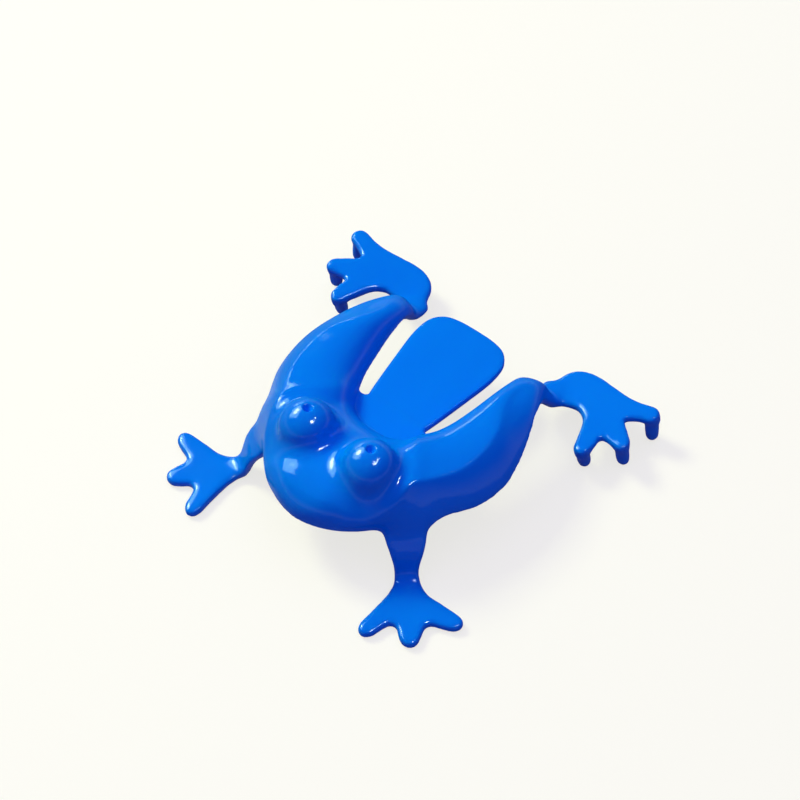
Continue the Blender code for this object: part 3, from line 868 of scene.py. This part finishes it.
@dataclass
class RearFoot(Foot):
    """A raised webbed plate that stands on three toe tips."""

    side: Side
    ankle_y: float
    sizes: RearFootSizes = field(default_factory=RearFootSizes)

    def rise(self, point: Vector) -> float:
        """Finds how far the plate has risen at a place.

        Args:
            point: The place.

        Returns:
            The rise above the heel, in metres.
        """
        s = self.sizes
        neck = self.point(s.outline[0])
        distance = math.hypot(point.x - neck.x, point.y - self.ankle_y) / s.width
        return s.rise * max(distance - s.flat_share, 0.0)

    def web(self) -> bpy.types.Mesh:
        """Builds the plate with its neck, which reaches into the ankle.

        Returns:
            The mesh.
        """
        s = self.sizes
        points = [self.point(row) for row in reversed(s.outline)]
        for neck in (points[0], points[-1]):
            neck.y = self.ankle_y - s.neck_reach
        curve = spline(points, CURVE_STEPS)
        bm = plate(curve, s.height - s.thickness, s.height, s.rounding)
        for vert in bm.verts:
            vert.co.z += self.rise(vert.co)
        return mesh_from(bm, self.side)

    def toe(self, shares: tuple[float, ...]) -> bpy.types.Mesh:
        """Builds one toe, a finger that runs along the web and bends down to the table.

        Args:
            shares: Shares of the foot's width and length: of the tip on the table, of the
                bend above it and of the toe's root in the web.

        Returns:
            The mesh.
        """
        s = self.sizes
        tip, bend, root = (self.point(shares[i:i + 2]) for i in (0, 2, 4))
        half = s.thickness / 2
        for place, radius in ((root, half), (bend, s.toe_top)):
            place.z = s.height + self.rise(place) - radius
        tip.z = s.toe_tip
        knee = bend.lerp(tip, s.toe_knee)
        path = spline([root, bend, knee, tip], s.toe_steps)
        run = 1 / 3  # the first of the three spans, up to the bend
        widths, heights = [], []
        for index in range(len(path)):
            share = index / (len(path) - 1)
            if share < run:
                widths.append(s.toe_top)
                heights.append(half + (s.toe_top - half) * share / run)
            else:
                fade = (share - run) / (1 - run)
                widths.append(s.toe_top + (s.toe_tip - s.toe_top) * fade)
                heights.append(widths[-1])
        outward = bend - root
        for place in path:
            place.x *= self.side.value
        side = Vector((-outward.y, outward.x * self.side.value, 0.0))
        return swept(path, widths, heights, side)

    def neck(self) -> bpy.types.Mesh:
        """Builds the strap that joins the ankle to the knee.

        Returns:
            The mesh.
        """
        s = self.sizes
        path = spline([Vector(row) * MM for row in s.ankle], CURVE_STEPS)
        for place in path:
            place.x *= self.side.value
        widths, heights = ([half] * len(path) for half in (s.ankle_half, s.ankle_thick))
        return swept(path, widths, heights, Vector((1.0, 0.0, 0.0)))


def make_object(name: str, meshes: list[bpy.types.Mesh]) -> bpy.types.Object:
    """Joins meshes into one new object.

    Args:
        name: The object's name.
        meshes: The meshes, which are used up.

    Returns:
        The object.
    """
    bm = bmesh.new()
    for mesh in meshes:
        bm.from_mesh(mesh)
        bpy.data.meshes.remove(mesh)
    joined = bpy.data.meshes.new(name)
    bm.to_mesh(joined)
    bm.free()
    piece = bpy.data.objects.new(name, joined)
    bpy.context.collection.objects.link(piece)
    return piece


def apply_modifiers(piece: bpy.types.Object) -> None:
    """Makes the result of a piece's modifiers its mesh.

    Args:
        piece: The piece.
    """
    graph = bpy.context.evaluated_depsgraph_get()
    finished = bpy.data.meshes.new_from_object(piece.evaluated_get(graph))
    old = piece.data
    piece.modifiers.clear()
    piece.data = finished
    bpy.data.meshes.remove(old)


def boolean(piece: bpy.types.Object, cutter: bpy.types.Object) -> None:
    """Cuts a body out of a piece and removes it.

    Args:
        piece: The piece.
        cutter: The body to cut away.
    """
    modifier = piece.modifiers.new("cut", "BOOLEAN")
    modifier.operation = "DIFFERENCE"
    modifier.solver = "EXACT"
    modifier.object = cutter
    apply_modifiers(piece)
    bpy.data.objects.remove(cutter, do_unlink=True)


def coordinates(mesh: bpy.types.Mesh) -> np.ndarray:
    """Reads a mesh's points.

    Args:
        mesh: The mesh.

    Returns:
        One row of x, y and z for each point.
    """
    co = np.zeros(len(mesh.vertices) * 3)
    mesh.vertices.foreach_get("co", co)
    return co.reshape(-1, 3)


def edge_table(mesh: bpy.types.Mesh) -> tuple[np.ndarray, np.ndarray]:
    """Reads which points of a mesh are neighbours.

    Args:
        mesh: The mesh.

    Returns:
        The two points of each edge, and how many neighbours each point has.
    """
    edges = np.zeros(len(mesh.edges) * 2, np.int64)
    mesh.edges.foreach_get("vertices", edges)
    edges = edges.reshape(-1, 2)
    return edges, np.bincount(edges.ravel(), minlength=len(mesh.vertices))[:, None]


def neighbour_sum(edges: np.ndarray, values: np.ndarray) -> np.ndarray:
    """Adds up the values of each point's neighbours.

    Args:
        edges: The two points of each edge.
        values: One row for each point.

    Returns:
        One row of sums for each point.
    """
    total = np.zeros_like(values)
    for column in range(values.shape[1]):
        total[:, column] += np.bincount(edges[:, 0], values[edges[:, 1], column], len(values))
        total[:, column] += np.bincount(edges[:, 1], values[edges[:, 0], column], len(values))
    return total


def relax(mesh: bpy.types.Mesh, weights: np.ndarray, rounds: int) -> None:
    """Smooths a mesh by moving each point towards the middle of its neighbours.

    Args:
        mesh: The mesh.
        weights: How strongly each point is smoothed; at 1 it goes half the way in a round.
        rounds: How many rounds are made.
    """
    edges, degree = edge_table(mesh)
    co = coordinates(mesh)
    weights = weights / 2
    moving = weights > 0.001
    kept = edges[moving[edges].any(1)]
    for _ in range(rounds):
        shift = (neighbour_sum(kept, co) / degree - co) * weights[:, None]
        co[moving] += shift[moving]
    mesh.vertices.foreach_set("co", co.ravel())
    mesh.update()


@dataclass(frozen=True)
class Zone:
    """A place round which the surface is smoothed.

    The weight is full up to spread - 1 reaches from the middle and gone at spread reaches.
    """

    middle: Vector
    reach: float
    weight: float = 1.0
    spread: float = 1.8


def fold(co: np.ndarray) -> np.ndarray:
    """Brings the points of the right half over to the left."""
    return np.abs(co) * (1, 0, 0) + co * (0, 1, 1)


def zone_weights(co: np.ndarray, zones: list[Zone]) -> np.ndarray:
    """Weighs each point by the zone that holds it most.

    Args:
        co: The points of the mesh.
        zones: The zones of the left half, which the right half shares.

    Returns:
        A weight for each point, highest in the middle of a zone.
    """
    weights = np.zeros(len(co))
    folded = fold(co)
    for zone in zones:
        distance = np.linalg.norm(folded - np.array(zone.middle), axis=1)
        share = np.clip(zone.spread - distance / zone.reach, 0.0, 1.0)
        weights = np.maximum(weights, zone.weight * share)
    return weights


@dataclass
class Moulding:
    """The toy's body: shell, eyes, legs and feet in one seamless piece.

    The parts are melted together on a voxel grid, snapped back to their own surfaces, and
    smoothed: everything a little, then the rim, the valleys round the eyes, the fillets
    of legs and toes, and the snout's lip.
    """

    voxel: float = 0.26 * MM
    edge_rounds: int = 5
    fillet_rounds: int = 30
    leg_corner: float = 1.8 * MM
    leg_middle: float = 2.6 * MM
    leg_reach: float = 2.2 * MM
    leg_weight: float = 0.9
    ankle_reach: float = 2.3 * MM
    toe_reach: float = 1.3 * MM
    toe_weight: float = 0.8
    lip_rounds: int = 90
    lip_reach: float = 1.3 * MM
    lip_spread: float = 2.0
    lip_steps: int = 3
    rim_rounds: int = 30
    rim_reach: float = 0.9 * MM
    rim_steps: int = 6
    valley_rounds: int = 150
    valley_width: float = 3.6 * MM
    valley_floor: float = 0.6 * MM
    valley_depth: float = 0.006 * MM
    valley_reach: int = 5
    level_least: float = 0.995
    level_start: float = 0.3
    level_reach: float = 0.08 * MM
    tab_side: float = 0.5 * MM
    tab_room: float = 0.8 * MM
    shell: Shell = field(default_factory=Shell)

    def __post_init__(self) -> None:
        """Sets up the parts of the moulding."""
        self.eyes = [Eye(side) for side in Side]
        self.legs = [FrontLeg(side, self.shell) for side in Side]
        self.feet = [RearFoot(side, self.shell.sizes.ankle_y) for side in Side]

    def fillets(self) -> list[Zone]:
        """Says where legs, feet and toes run into their wide fillets.

        Returns:
            The zones of the left half.
        """
        shell, leg, foot = self.shell, self.legs[0], self.feet[0]
        first, last = leg.sizes.first_station, leg.sizes.last_station
        found = []
        for station in range(first, last + 1):
            reach = self.leg_corner if station in (first, last) else self.leg_middle
            found.append(Zone(shell.point(shell.sizes.rim[station]), reach))
        for inner, outer in zip(leg.sizes.inner, leg.sizes.outer):
            for across in (0.0, 0.5, 1.0):
                row = [a + (b - a) * across for a, b in zip(inner, outer)]
                middle = leg.point(row[:2], shell.sizes.panel * row[2])
                found.append(Zone(middle, self.leg_reach, self.leg_weight))
        for row in foot.sizes.ankle:
            found.append(Zone(Vector(row) * MM, self.ankle_reach))
        for row in foot.sizes.toes:
            bend = foot.point(row[2:4])
            bend.z = foot.sizes.height + foot.rise(bend) - foot.sizes.thickness
            found.append(Zone(bend, self.toe_reach, self.toe_weight))
        return found

    def edge_zones(self) -> tuple[list[Zone], list[Zone]]:
        """Lines up zones along the shell's lower rim and along the snout's lip.

        Returns:
            The rim's zones and the lip's zones, for the left half.
        """
        shell = self.shell
        rim = spline([Vector(row) for row in shell.sizes.rim], self.rim_steps)
        lip = spline([Vector(row) for row in shell.sizes.crease[:3]], self.lip_steps)
        lip = lip[:-2]  # stops short of the cheek
        return ([Zone(shell.point(tuple(row)), self.rim_reach) for row in rim],
                [Zone(shell.point(tuple(row)), self.lip_reach, spread=self.lip_spread) for row in lip])

    def valley_weights(self, mesh: bpy.types.Mesh) -> np.ndarray:
        """Weighs each point by how near it lies to the valley round an eye.

        Args:
            mesh: The mesh.

        Returns:
            A weight for each point, highest in the valley.
        """
        edges, degree = edge_table(mesh)
        co = coordinates(mesh)
        normals = np.zeros(len(co) * 3)
        mesh.vertices.foreach_get("normal", normals)
        depth = ((neighbour_sum(edges, co) / degree - co) * normals.reshape(-1, 3)).sum(1)
        offset = fold(co) - np.array(self.eyes[0].centre)
        near = np.hypot(offset[:, 0], offset[:, 1]) < self.eyes[0].sizes.radius + self.valley_width
        near &= co[:, 2] > self.shell.sizes.panel + self.valley_floor
        weights = (near & (depth > self.valley_depth)).astype(float)
        for _ in range(self.valley_reach):
            spread = weights.copy()
            np.maximum.at(spread, edges[:, 0], weights[edges[:, 1]])
            np.maximum.at(spread, edges[:, 1], weights[edges[:, 0]])
            weights = spread
        for _ in range(self.valley_reach * 2):
            weights = neighbour_sum(edges, weights[:, None])[:, 0] / degree[:, 0]
        return weights

    def dimple(self, piece: bpy.types.Object, eye: Eye) -> None:
        """Presses the pupil into an eye.

        Args:
            piece: The moulding.
            eye: The eye.
        """
        s = eye.sizes
        bm = bmesh.new()
        bm.from_mesh(piece.data)
        axis = (eye.pupil - eye.centre).normalized()
        near = [e for e in bm.edges if (e.verts[0].co - eye.pupil).length < s.pupil_radius * 2.0]
        bmesh.ops.subdivide_edges(bm, edges=near, cuts=2, use_grid_fill=True)
        for vert in bm.verts:
            offset = vert.co - eye.pupil
            outside = (vert.co - eye.centre).length >= s.radius * s.skin_share
            if outside and offset.length <= s.pupil_radius * s.pupil_zone:
                across = (offset - axis * offset.dot(axis)).length / s.pupil_radius
                vert.co -= axis * s.pupil_depth * (1 - smooth(min(across / s.pupil_lip, 1.0)))
        bm.to_mesh(piece.data)
        bm.free()

    def build(self) -> bpy.types.Object:
        """Builds the whole moulding.

        Returns:
            The finished piece, without its material.
        """
        meshes = [self.shell.mesh(), self.shell.tab_mesh()]
        meshes += [eye.ball() for eye in self.eyes]
        for leg in self.legs:
            meshes += [leg.foot(), leg.strip()]
        for foot in self.feet:
            meshes += [foot.web(), foot.neck()] + [foot.toe(row) for row in foot.sizes.toes]
        piece = make_object("frog_moulding", meshes)
        source = bpy.data.objects.new("source", piece.data.copy())
        bpy.context.collection.objects.link(source)
        remesh = piece.modifiers.new("voxels", "REMESH")
        remesh.mode = "VOXEL"
        remesh.voxel_size = self.voxel
        remesh.adaptivity = 0.0
        snap = piece.modifiers.new("snap", "SHRINKWRAP")
        snap.wrap_method = "NEAREST_SURFACEPOINT"
        snap.target = source
        apply_modifiers(piece)
        bpy.data.objects.remove(source, do_unlink=True)
        for eye in self.eyes:
            boolean(piece, make_object("eye_room", [eye.hollow()]))
        co = coordinates(piece.data)
        rim, lip = (zone_weights(co, zones) for zones in self.edge_zones())
        relax(piece.data, np.ones(len(co)), self.edge_rounds)
        relax(piece.data, rim, self.rim_rounds)
        relax(piece.data, self.valley_weights(piece.data), self.valley_rounds)
        relax(piece.data, zone_weights(co, self.fillets()), self.fillet_rounds)
        relax(piece.data, lip, self.lip_rounds)
        self.level_panel(piece)
        self.cut_tab(piece)
        for eye in self.eyes:
            self.dimple(piece, eye)
        piece.data.shade_smooth()
        LOG.info("moulding: %d faces", len(piece.data.polygons))
        return piece

    def level_panel(self, piece: bpy.types.Object) -> None:
        """Sets the faces of the panel exactly level, as the tongue's are.

        Args:
            piece: The moulding.
        """
        s = self.shell.sizes
        co = coordinates(piece.data)
        normals = np.zeros(len(co) * 3)
        piece.data.vertices.foreach_get("normal", normals)
        level = np.abs(normals.reshape(-1, 3)[:, 2]) > self.level_least
        level &= co[:, 1] > s.nose_y + s.length * self.level_start
        for height in (s.panel, s.panel - s.wall):
            co[level & (np.abs(co[:, 2] - height) < self.level_reach), 2] = height
        piece.data.vertices.foreach_set("co", co.ravel())
        piece.data.update()

    def cut_tab(self, piece: bpy.types.Object) -> None:
        """Cuts the panel off square where the tongue goes on.

        Args:
            piece: The moulding.
        """
        s = self.shell.sizes
        side, room = s.root_half + self.tab_side, self.tab_room
        cutter = box_mesh(Vector((-side, s.hinge_y + TongueSizes.cut, s.panel - s.wall - room)),
                          Vector((side, s.hinge_y + s.tab + room, s.panel + room)))
        boolean(piece, make_object("tab_end", [cutter]))


@dataclass
class Tongue:
    """The press tongue, a flat spring that is held at its root."""

    shell: ShellSizes
    sizes: TongueSizes = field(default_factory=TongueSizes)
    row_steps: int = 12
    edge_steps: int = 6
    inner_steps: int = 10
    sharp_angle: float = math.radians(60)

    def side_curve(self) -> list[Vector]:
        """Runs along one side of the tongue, from the root to the middle of its tip.

        Returns:
            The points of the left side.
        """
        s = self.sizes
        hinge = self.shell.hinge_y
        points = [Vector((s.root_half, hinge + s.cut, 0.0))]
        for x_share, y_share in s.outline:
            points.append(Vector((s.half_width * x_share, hinge + s.length * y_share, 0.0)))
        return spline(points, self.row_steps)

    def across(self, half: float) -> list[float]:
        """Spreads the points of one row over the tongue, closer together near its edges.

        Args:
            half: Half the tongue's width there.

        Returns:
            The places across, from the left edge to the right one.
        """
        s = self.sizes
        edge = [s.rounding * (1 - math.cos(math.pi / 2 * i / self.edge_steps))
                for i in range(self.edge_steps)]
        flat = half - edge[-1]
        if half < s.rounding * 2:
            narrowed = [half * s.tip_taper * inset / s.rounding for inset in edge]
            flat = half - narrowed[-1]
            edge = [min(pair) for pair in zip(edge, narrowed)]
        places = [half - inset for inset in edge]
        places += [flat * (1 - i / self.inner_steps) for i in range(1, self.inner_steps)]
        return places + [0.0] + [-x for x in reversed(places)]

    def build(self) -> bpy.types.Object:
        """Builds the tongue.

        Returns:
            The finished piece, without its material.
        """
        s = self.sizes
        side = self.side_curve()
        outline = np.array([(p.x, p.y) for p in side])
        outline = np.concatenate([outline, outline[-2::-1] * (-1, 1)])
        starts, ends = outline[:-1], outline[1:]
        spans = ends - starts
        top_z = self.shell.panel
        middle = top_z - s.thickness / 2

        def depth(x: float, y: float) -> float:
            """Finds how far a place lies from the tongue's free edge.

            Args:
                x: The place across.
                y: The place along.

            Returns:
                The distance, in metres.
            """
            offset = np.array((x, y)) - starts
            along = np.clip((offset * spans).sum(1) / (spans ** 2).sum(1), 0, 1)
            return float(np.linalg.norm(offset - spans * along[:, None], axis=1).min())

        bm = bmesh.new()
        upper, lower = [], []
        for point in side[:-1]:
            top_row, low_row = [], []
            for x in self.across(point.x):
                d = min(depth(x, point.y), s.rounding)
                lift = s.rounding - math.sqrt(max(s.rounding ** 2 - (s.rounding - d) ** 2, 0.0))
                if abs(abs(x) - point.x) < 1e-9:
                    vert = bm.verts.new((x, point.y, middle))
                    low = vert
                else:
                    vert = bm.verts.new((x, point.y, top_z - lift))
                    low = bm.verts.new((x, point.y, top_z - s.thickness + lift))
                top_row.append(vert)
                low_row.append(low)
            upper.append(top_row)
            lower.append(low_row)
        tip = bm.verts.new((0.0, side[-1].y, middle))
        for rows, flip in ((upper, False), (lower, True)):
            add_faces(bm, rows, flip)
            for i in range(len(rows[-1]) - 1):
                corners = (rows[-1][i], tip, rows[-1][i + 1])
                bm.faces.new(tuple(reversed(corners)) if flip else corners)
        ring = upper[0] + list(reversed(lower[0][1:-1]))
        bm.faces.new(ring)
        bmesh.ops.recalc_face_normals(bm, faces=bm.faces)
        piece = make_object("press_tongue_moulding", [mesh_from(bm)])
        piece.data.shade_smooth()
        piece.data.set_sharp_from_angle(angle=self.sharp_angle)
        LOG.info("tongue: %d faces", len(piece.data.polygons))
        return piece


@dataclass(frozen=True)
class Graph:
    """A node tree that is being built."""

    tree: bpy.types.NodeTree

    def feed(self, node: bpy.types.Node, values: dict[str | int, object]) -> bpy.types.Node:
        """Sets or links a node's inputs.

        Args:
            node: The node.
            values: For each input a value, a colour or the socket that feeds it.

        Returns:
            The node.
        """
        for name, value in values.items():
            if isinstance(value, bpy.types.NodeSocket):
                self.tree.links.new(value, node.inputs[name])
            elif node.inputs[name].type == "RGBA":
                node.inputs[name].default_value = (*value, 1.0)
            else:
                node.inputs[name].default_value = value
        return node

    def add(self, kind: str, values: dict[str | int, object] | None = None,
            **settings: str) -> bpy.types.Node:
        """Adds a node.

        Args:
            kind: The node's type.
            values: What its inputs get, as in feed.
            settings: Its own settings, such as its operation.

        Returns:
            The node.
        """
        node = self.tree.nodes.new(kind)
        for name, setting in settings.items():
            setattr(node, name, setting)
        return self.feed(node, values or {})

    def noise(self, place: bpy.types.NodeSocket, scale: float,
              detail: float) -> bpy.types.NodeSocket:
        """Adds noise that is read at a place, from 0 to 1."""
        values = {"Vector": place, "Scale": scale, "Detail": detail}
        return self.add("ShaderNodeTexNoise", values).outputs["Fac"]

    def ramp(self, value: bpy.types.NodeSocket, start: float, end: float, low: float,
             high: float, shape: str = "SMOOTHSTEP") -> bpy.types.NodeSocket:
        """Maps a value from the range start to end to the range low to high."""
        limits = {"From Min": start, "From Max": end, "To Min": low, "To Max": high}
        node = self.add("ShaderNodeMapRange", {"Value": value} | limits, interpolation_type=shape)
        return node.outputs["Result"]

    def math(self, operation: str, first: bpy.types.NodeSocket,
             second: bpy.types.NodeSocket) -> bpy.types.NodeSocket:
        """Joins two values into one."""
        return self.add("ShaderNodeMath", {0: first, 1: second}, operation=operation).outputs[0]

    def mix(self, share: float | bpy.types.NodeSocket, first: bpy.types.NodeSocket,
            second: bpy.types.NodeSocket) -> bpy.types.NodeSocket:
        """Mixes two shaders, with the share given to the second."""
        return self.add("ShaderNodeMixShader", {0: share, 1: first, 2: second}).outputs[0]

    def shine_rays(self, path: bpy.types.Node) -> bpy.types.NodeSocket:
        """Picks out, by a Light Path node, the rays that gloss and glass send out."""
        return self.math("MAXIMUM", path.outputs["Is Glossy Ray"],
                         path.outputs["Is Transmission Ray"])


@dataclass(frozen=True)
class PlasticLook:
    """Values of the blue plastic: its two blues, its gloss and its moulded skin.

    Noise scales are per metre; the flow lines run along the toy.
    """

    base: Triple = (0.0, 0.2, 0.87)
    deep: Triple = (0.0, 0.15, 0.78)
    deep_most: float = 0.5
    cloud_range: tuple[float, float] = (0.35, 0.75)
    cloud_scale: float = 90.0
    flow: Triple = (1.0, 0.35, 1.0)
    roughness: float = 0.3
    roughness_range: tuple[float, float] = (0.8, 1.25)
    grain_scale: float = 350.0
    ripple_scale: float = 420.0
    ripple_strength: float = 0.06
    ripple_depth: float = 0.02 * MM
    ior: float = 1.5
    specular: float = 0.0
    coat: float = 0.32
    coat_roughness: float = 0.1
    subsurface: float = 0.12
    scatter: float = 0.9 * MM
    scatter_colours: Triple = (0.1, 0.35, 1.0)


def flow_group(look: PlasticLook) -> bpy.types.NodeTree:
    """Builds the moulded plastic's uneven colour, gloss and skin.

    Args:
        look: The values of the plastic.

    Returns:
        The node group, which gives Colour, Roughness and Height.
    """
    group = bpy.data.node_groups.new("moulded_flow", "ShaderNodeTree")
    for name, kind in (("Colour", "Color"), ("Roughness", "Float"), ("Height", "Float")):
        group.interface.new_socket(name=name, in_out="OUTPUT", socket_type="NodeSocket" + kind)
    graph = Graph(group)
    place = graph.add("ShaderNodeTexCoord").outputs["Object"]
    flow = graph.add("ShaderNodeMapping", {"Vector": place, "Scale": look.flow}).outputs[0]
    cloud = graph.ramp(graph.noise(flow, look.cloud_scale, 2.0), *look.cloud_range,
                       0.0, look.deep_most, "LINEAR")
    blue = graph.add("ShaderNodeMix", data_type="RGBA")
    graph.feed(blue, {"Factor": cloud, "A": look.base, "B": look.deep})
    gloss = graph.ramp(graph.noise(place, look.grain_scale, 3.0), 0.0, 1.0,
                       *(look.roughness * share for share in look.roughness_range), "LINEAR")
    graph.add("NodeGroupOutput", {
        "Colour": blue.outputs["Result"], "Roughness": gloss,
        "Height": graph.noise(flow, look.ripple_scale, 1.0),
    })
    return group


def plastic(look: PlasticLook) -> bpy.types.Material:
    """Makes the glossy, faintly translucent blue plastic.

    Args:
        look: The values of the plastic.

    Returns:
        The material.
    """
    material = bpy.data.materials.new("blue_moulded_plastic")
    material.use_nodes = True
    graph = Graph(material.node_tree)
    flow = graph.add("ShaderNodeGroup")
    flow.node_tree = flow_group(look)
    bump = graph.add("ShaderNodeBump", {
        "Strength": look.ripple_strength, "Distance": look.ripple_depth,
        "Height": flow.outputs["Height"],
    })
    graph.feed(graph.tree.nodes["Principled BSDF"], {
        "Base Color": flow.outputs["Colour"], "Roughness": flow.outputs["Roughness"],
        "Normal": bump.outputs["Normal"], "Metallic": 0.0, "IOR": look.ior,
        "Specular IOR Level": look.specular, "Coat Weight": look.coat,
        "Coat Roughness": look.coat_roughness, "Subsurface Weight": look.subsurface,
        "Subsurface Radius": look.scatter_colours, "Subsurface Scale": look.scatter,
    })
    return material


@dataclass(frozen=True)
class Lamp:
    """An area lamp that looks at the toy from a direction."""

    name: str
    direction: Triple
    distance: float
    width: float
    height: float
    power: float
    use: Use
    colour: Triple = (1.0, 1.0, 1.0)


@dataclass
class Studio:
    """Pale floor, soft light and the camera.

    The camera sees a near-white floor.  Gloss sees a painted patch of light on it, a glow that
    is bright under the frog's right side, and painted shade, a dim floor, elsewhere; soft light
    sees it dark blue, as deep as the toy's own walls are in the photograph.  Heights in the sky
    are sines of their angles.
    """

    aim: Vector = field(default_factory=lambda: Vector((-5.304 * MM, 7.892 * MM, 0.0)))
    distance: float = 321.07 * MM
    lens: float = 99.0
    sensor: float = 36.0
    clip: tuple[float, float] = (0.01, 10.0)
    azimuth: float = 0.675063
    elevation: float = 0.925612
    floor_colour: Triple = (1.0, 0.995, 0.92)
    floor_lift: float = 0.75
    floor_size: float = 1.6
    dome_colour: Triple = (0.56, 0.5, 0.97)
    sky_colour: Triple = (0.93, 0.95, 1.0)
    matt_colour: Triple = (0.97, 0.97, 0.93)
    bounce_colour: Triple = (0.08, 0.115, 0.34)
    # Painted light: how brightly gloss sees the floor glow, bright near one spot and dim far off.
    painted_glow_near: float = 1.3
    painted_glow_far: float = 0.2
    painted_glow_spot: Triple = (-18.0 * MM, -9.0 * MM, 0.0)
    painted_glow_fade: tuple[float, float] = (6.0 * MM, 22.0 * MM)
    backdrop_top: float = 0.35
    sky_strength: float = 0.05
    dome_rise: tuple[float, float] = (0.1, 0.95)
    dome_high: float = 1.0
    lamps: tuple[Lamp, ...] = (
        Lamp("key_lamp", (-0.69, -0.02, 0.72), 0.6, 0.16, 0.16, 3.05, Use.LIGHT,
             (0.95, 1.0, 0.52)),
        Lamp("key_panel", (-0.73, 0.03, 0.68), 0.6, 0.2, 0.15, 4.6, Use.SHINE, (0.85, 1.0, 1.0)),
        Lamp("wide_panel", (-0.74, 0.0, 0.67), 0.6, 0.5, 0.34, 8.5, Use.SHINE, (0.5, 0.95, 1.0)),
        Lamp("top_panel", (0.429, -0.04, 0.903), 0.6, 0.11, 0.11, 3.4, Use.SHINE, (0.8, 1.0, 1.0)),
        Lamp("crease_panel", (0.46, 0.17, 0.87), 0.6, 0.26, 0.03, 2.6, Use.SHINE, (0.6, 0.95, 1.0)),
        Lamp("side_panel", (-0.85, 0.47, 0.28), 0.8, 0.5, 0.06, 1.6, Use.SHINE, (0.6, 0.95, 1.0)),
    )

    def build_floor(self) -> None:
        """Lays the pale floor, which stays near white and keeps a soft shadow."""
        bm = bmesh.new()
        bmesh.ops.create_grid(bm, x_segments=8, y_segments=8, size=self.floor_size)
        floor = make_object("floor", [mesh_from(bm)])
        material = bpy.data.materials.new("pale_floor")
        material.use_nodes = True
        graph = Graph(material.node_tree)
        graph.tree.nodes.clear()
        path = graph.add("ShaderNodeLightPath")
        place = graph.add("ShaderNodeTexCoord").outputs["Object"]
        # Painted light: gloss sees the floor glow brightly round one spot by the frog's right side, a
        # painted patch of light, and dimly further off as painted shade.
        away = graph.add("ShaderNodeVectorMath", {0: place, 1: self.painted_glow_spot}, operation="DISTANCE")
        mirrored = graph.ramp(away.outputs["Value"], *self.painted_glow_fade,
                              self.painted_glow_near, self.painted_glow_far)
        painted_glow_in_gloss = graph.math("MULTIPLY", graph.shine_rays(path), mirrored)
        shown = graph.math("MAXIMUM", path.outputs["Is Camera Ray"], painted_glow_in_gloss)
        matt = graph.add("ShaderNodeBsdfDiffuse", {"Color": self.bounce_colour}).outputs[0]
        pale = graph.add("ShaderNodeBsdfDiffuse", {"Color": self.matt_colour}).outputs[0]
        glow = graph.add("ShaderNodeEmission", {"Color": self.floor_colour}).outputs[0]
        surface = graph.mix(shown, matt, graph.mix(self.floor_lift, pale, glow))
        graph.add("ShaderNodeOutputMaterial", {"Surface": surface})
        floor.data.materials.append(material)

    def build_world(self) -> None:
        """Surrounds the toy with even light and a near-white backdrop."""
        world = bpy.data.worlds.new("studio_world")
        bpy.context.scene.world = world
        world.use_nodes = True
        graph = Graph(world.node_tree)
        graph.tree.nodes.clear()
        place = graph.add("ShaderNodeTexCoord").outputs["Generated"]
        height = graph.add("ShaderNodeSeparateXYZ", {"Vector": place}).outputs["Z"]
        path = graph.add("ShaderNodeLightPath")
        dome, backdrop, sky = (
            graph.add("ShaderNodeBackground", {"Color": colour, "Strength": strength}).outputs[0]
            for colour, strength in (
                (self.dome_colour, graph.ramp(height, *self.dome_rise, 0.0, self.dome_high)),
                (self.floor_colour, 1.0), (self.sky_colour, self.sky_strength)))
        mirrored = graph.mix(graph.ramp(height, 0.0, self.backdrop_top, 1.0, 0.0), sky, backdrop)
        lit = graph.mix(graph.shine_rays(path), dome, mirrored)
        seen = graph.mix(path.outputs["Is Camera Ray"], lit, backdrop)
        graph.add("ShaderNodeOutputWorld", {"Surface": seen})

    def build_lamps(self) -> None:
        """Hangs the lamps."""
        for lamp in self.lamps:
            light = bpy.data.lights.new(lamp.name, "AREA")
            light.shape = "RECTANGLE"
            light.size = lamp.width
            light.size_y = lamp.height
            light.energy = lamp.power
            light.color = lamp.colour
            holder = bpy.data.objects.new(lamp.name, light)
            holder.visible_diffuse = lamp.use is Use.LIGHT
            holder.visible_glossy = lamp.use is Use.SHINE
            direction = Vector(lamp.direction).normalized()
            holder.location = direction * lamp.distance
            holder.rotation_euler = (-direction).to_track_quat("-Z", "Y").to_euler()
            bpy.context.collection.objects.link(holder)

    def build_camera(self) -> None:
        """Places the camera at the photograph's angle."""
        data = bpy.data.cameras.new("camera")
        data.lens = self.lens
        data.sensor_width = self.sensor
        data.clip_start, data.clip_end = self.clip
        camera = bpy.data.objects.new("camera", data)
        back = Vector((math.sin(self.azimuth) * math.cos(self.elevation),
                       -math.cos(self.azimuth) * math.cos(self.elevation),
                       math.sin(self.elevation)))
        camera.location = self.aim + back * self.distance
        camera.rotation_euler = (-back).to_track_quat("-Z", "Y").to_euler()
        bpy.context.collection.objects.link(camera)
        bpy.context.scene.camera = camera

    def build(self) -> None:
        """Builds all of the studio."""
        self.build_floor()
        self.build_world()
        self.build_lamps()
        self.build_camera()
        bpy.context.scene.view_settings.view_transform = "Standard"


def main() -> None:
    """Builds the toy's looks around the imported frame."""
    logging.basicConfig(level=logging.INFO, format="%(message)s")
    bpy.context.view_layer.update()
    moulding = Moulding()
    body = moulding.build()
    tongue_maker = Tongue(moulding.shell.sizes)
    tongue = tongue_maker.build()
    blue = plastic(PlasticLook())
    for piece in (body, tongue):
        piece.data.materials.clear()
        piece.data.materials.append(blue)
    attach(body, "frog")
    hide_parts("body_shell", "front_left_leg", "front_right_leg",
                "rear_left_foot", "rear_right_foot")
    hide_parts("press_tongue")
    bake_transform(tongue)
    Studio().build()


if __name__ == "__main__":
    main()
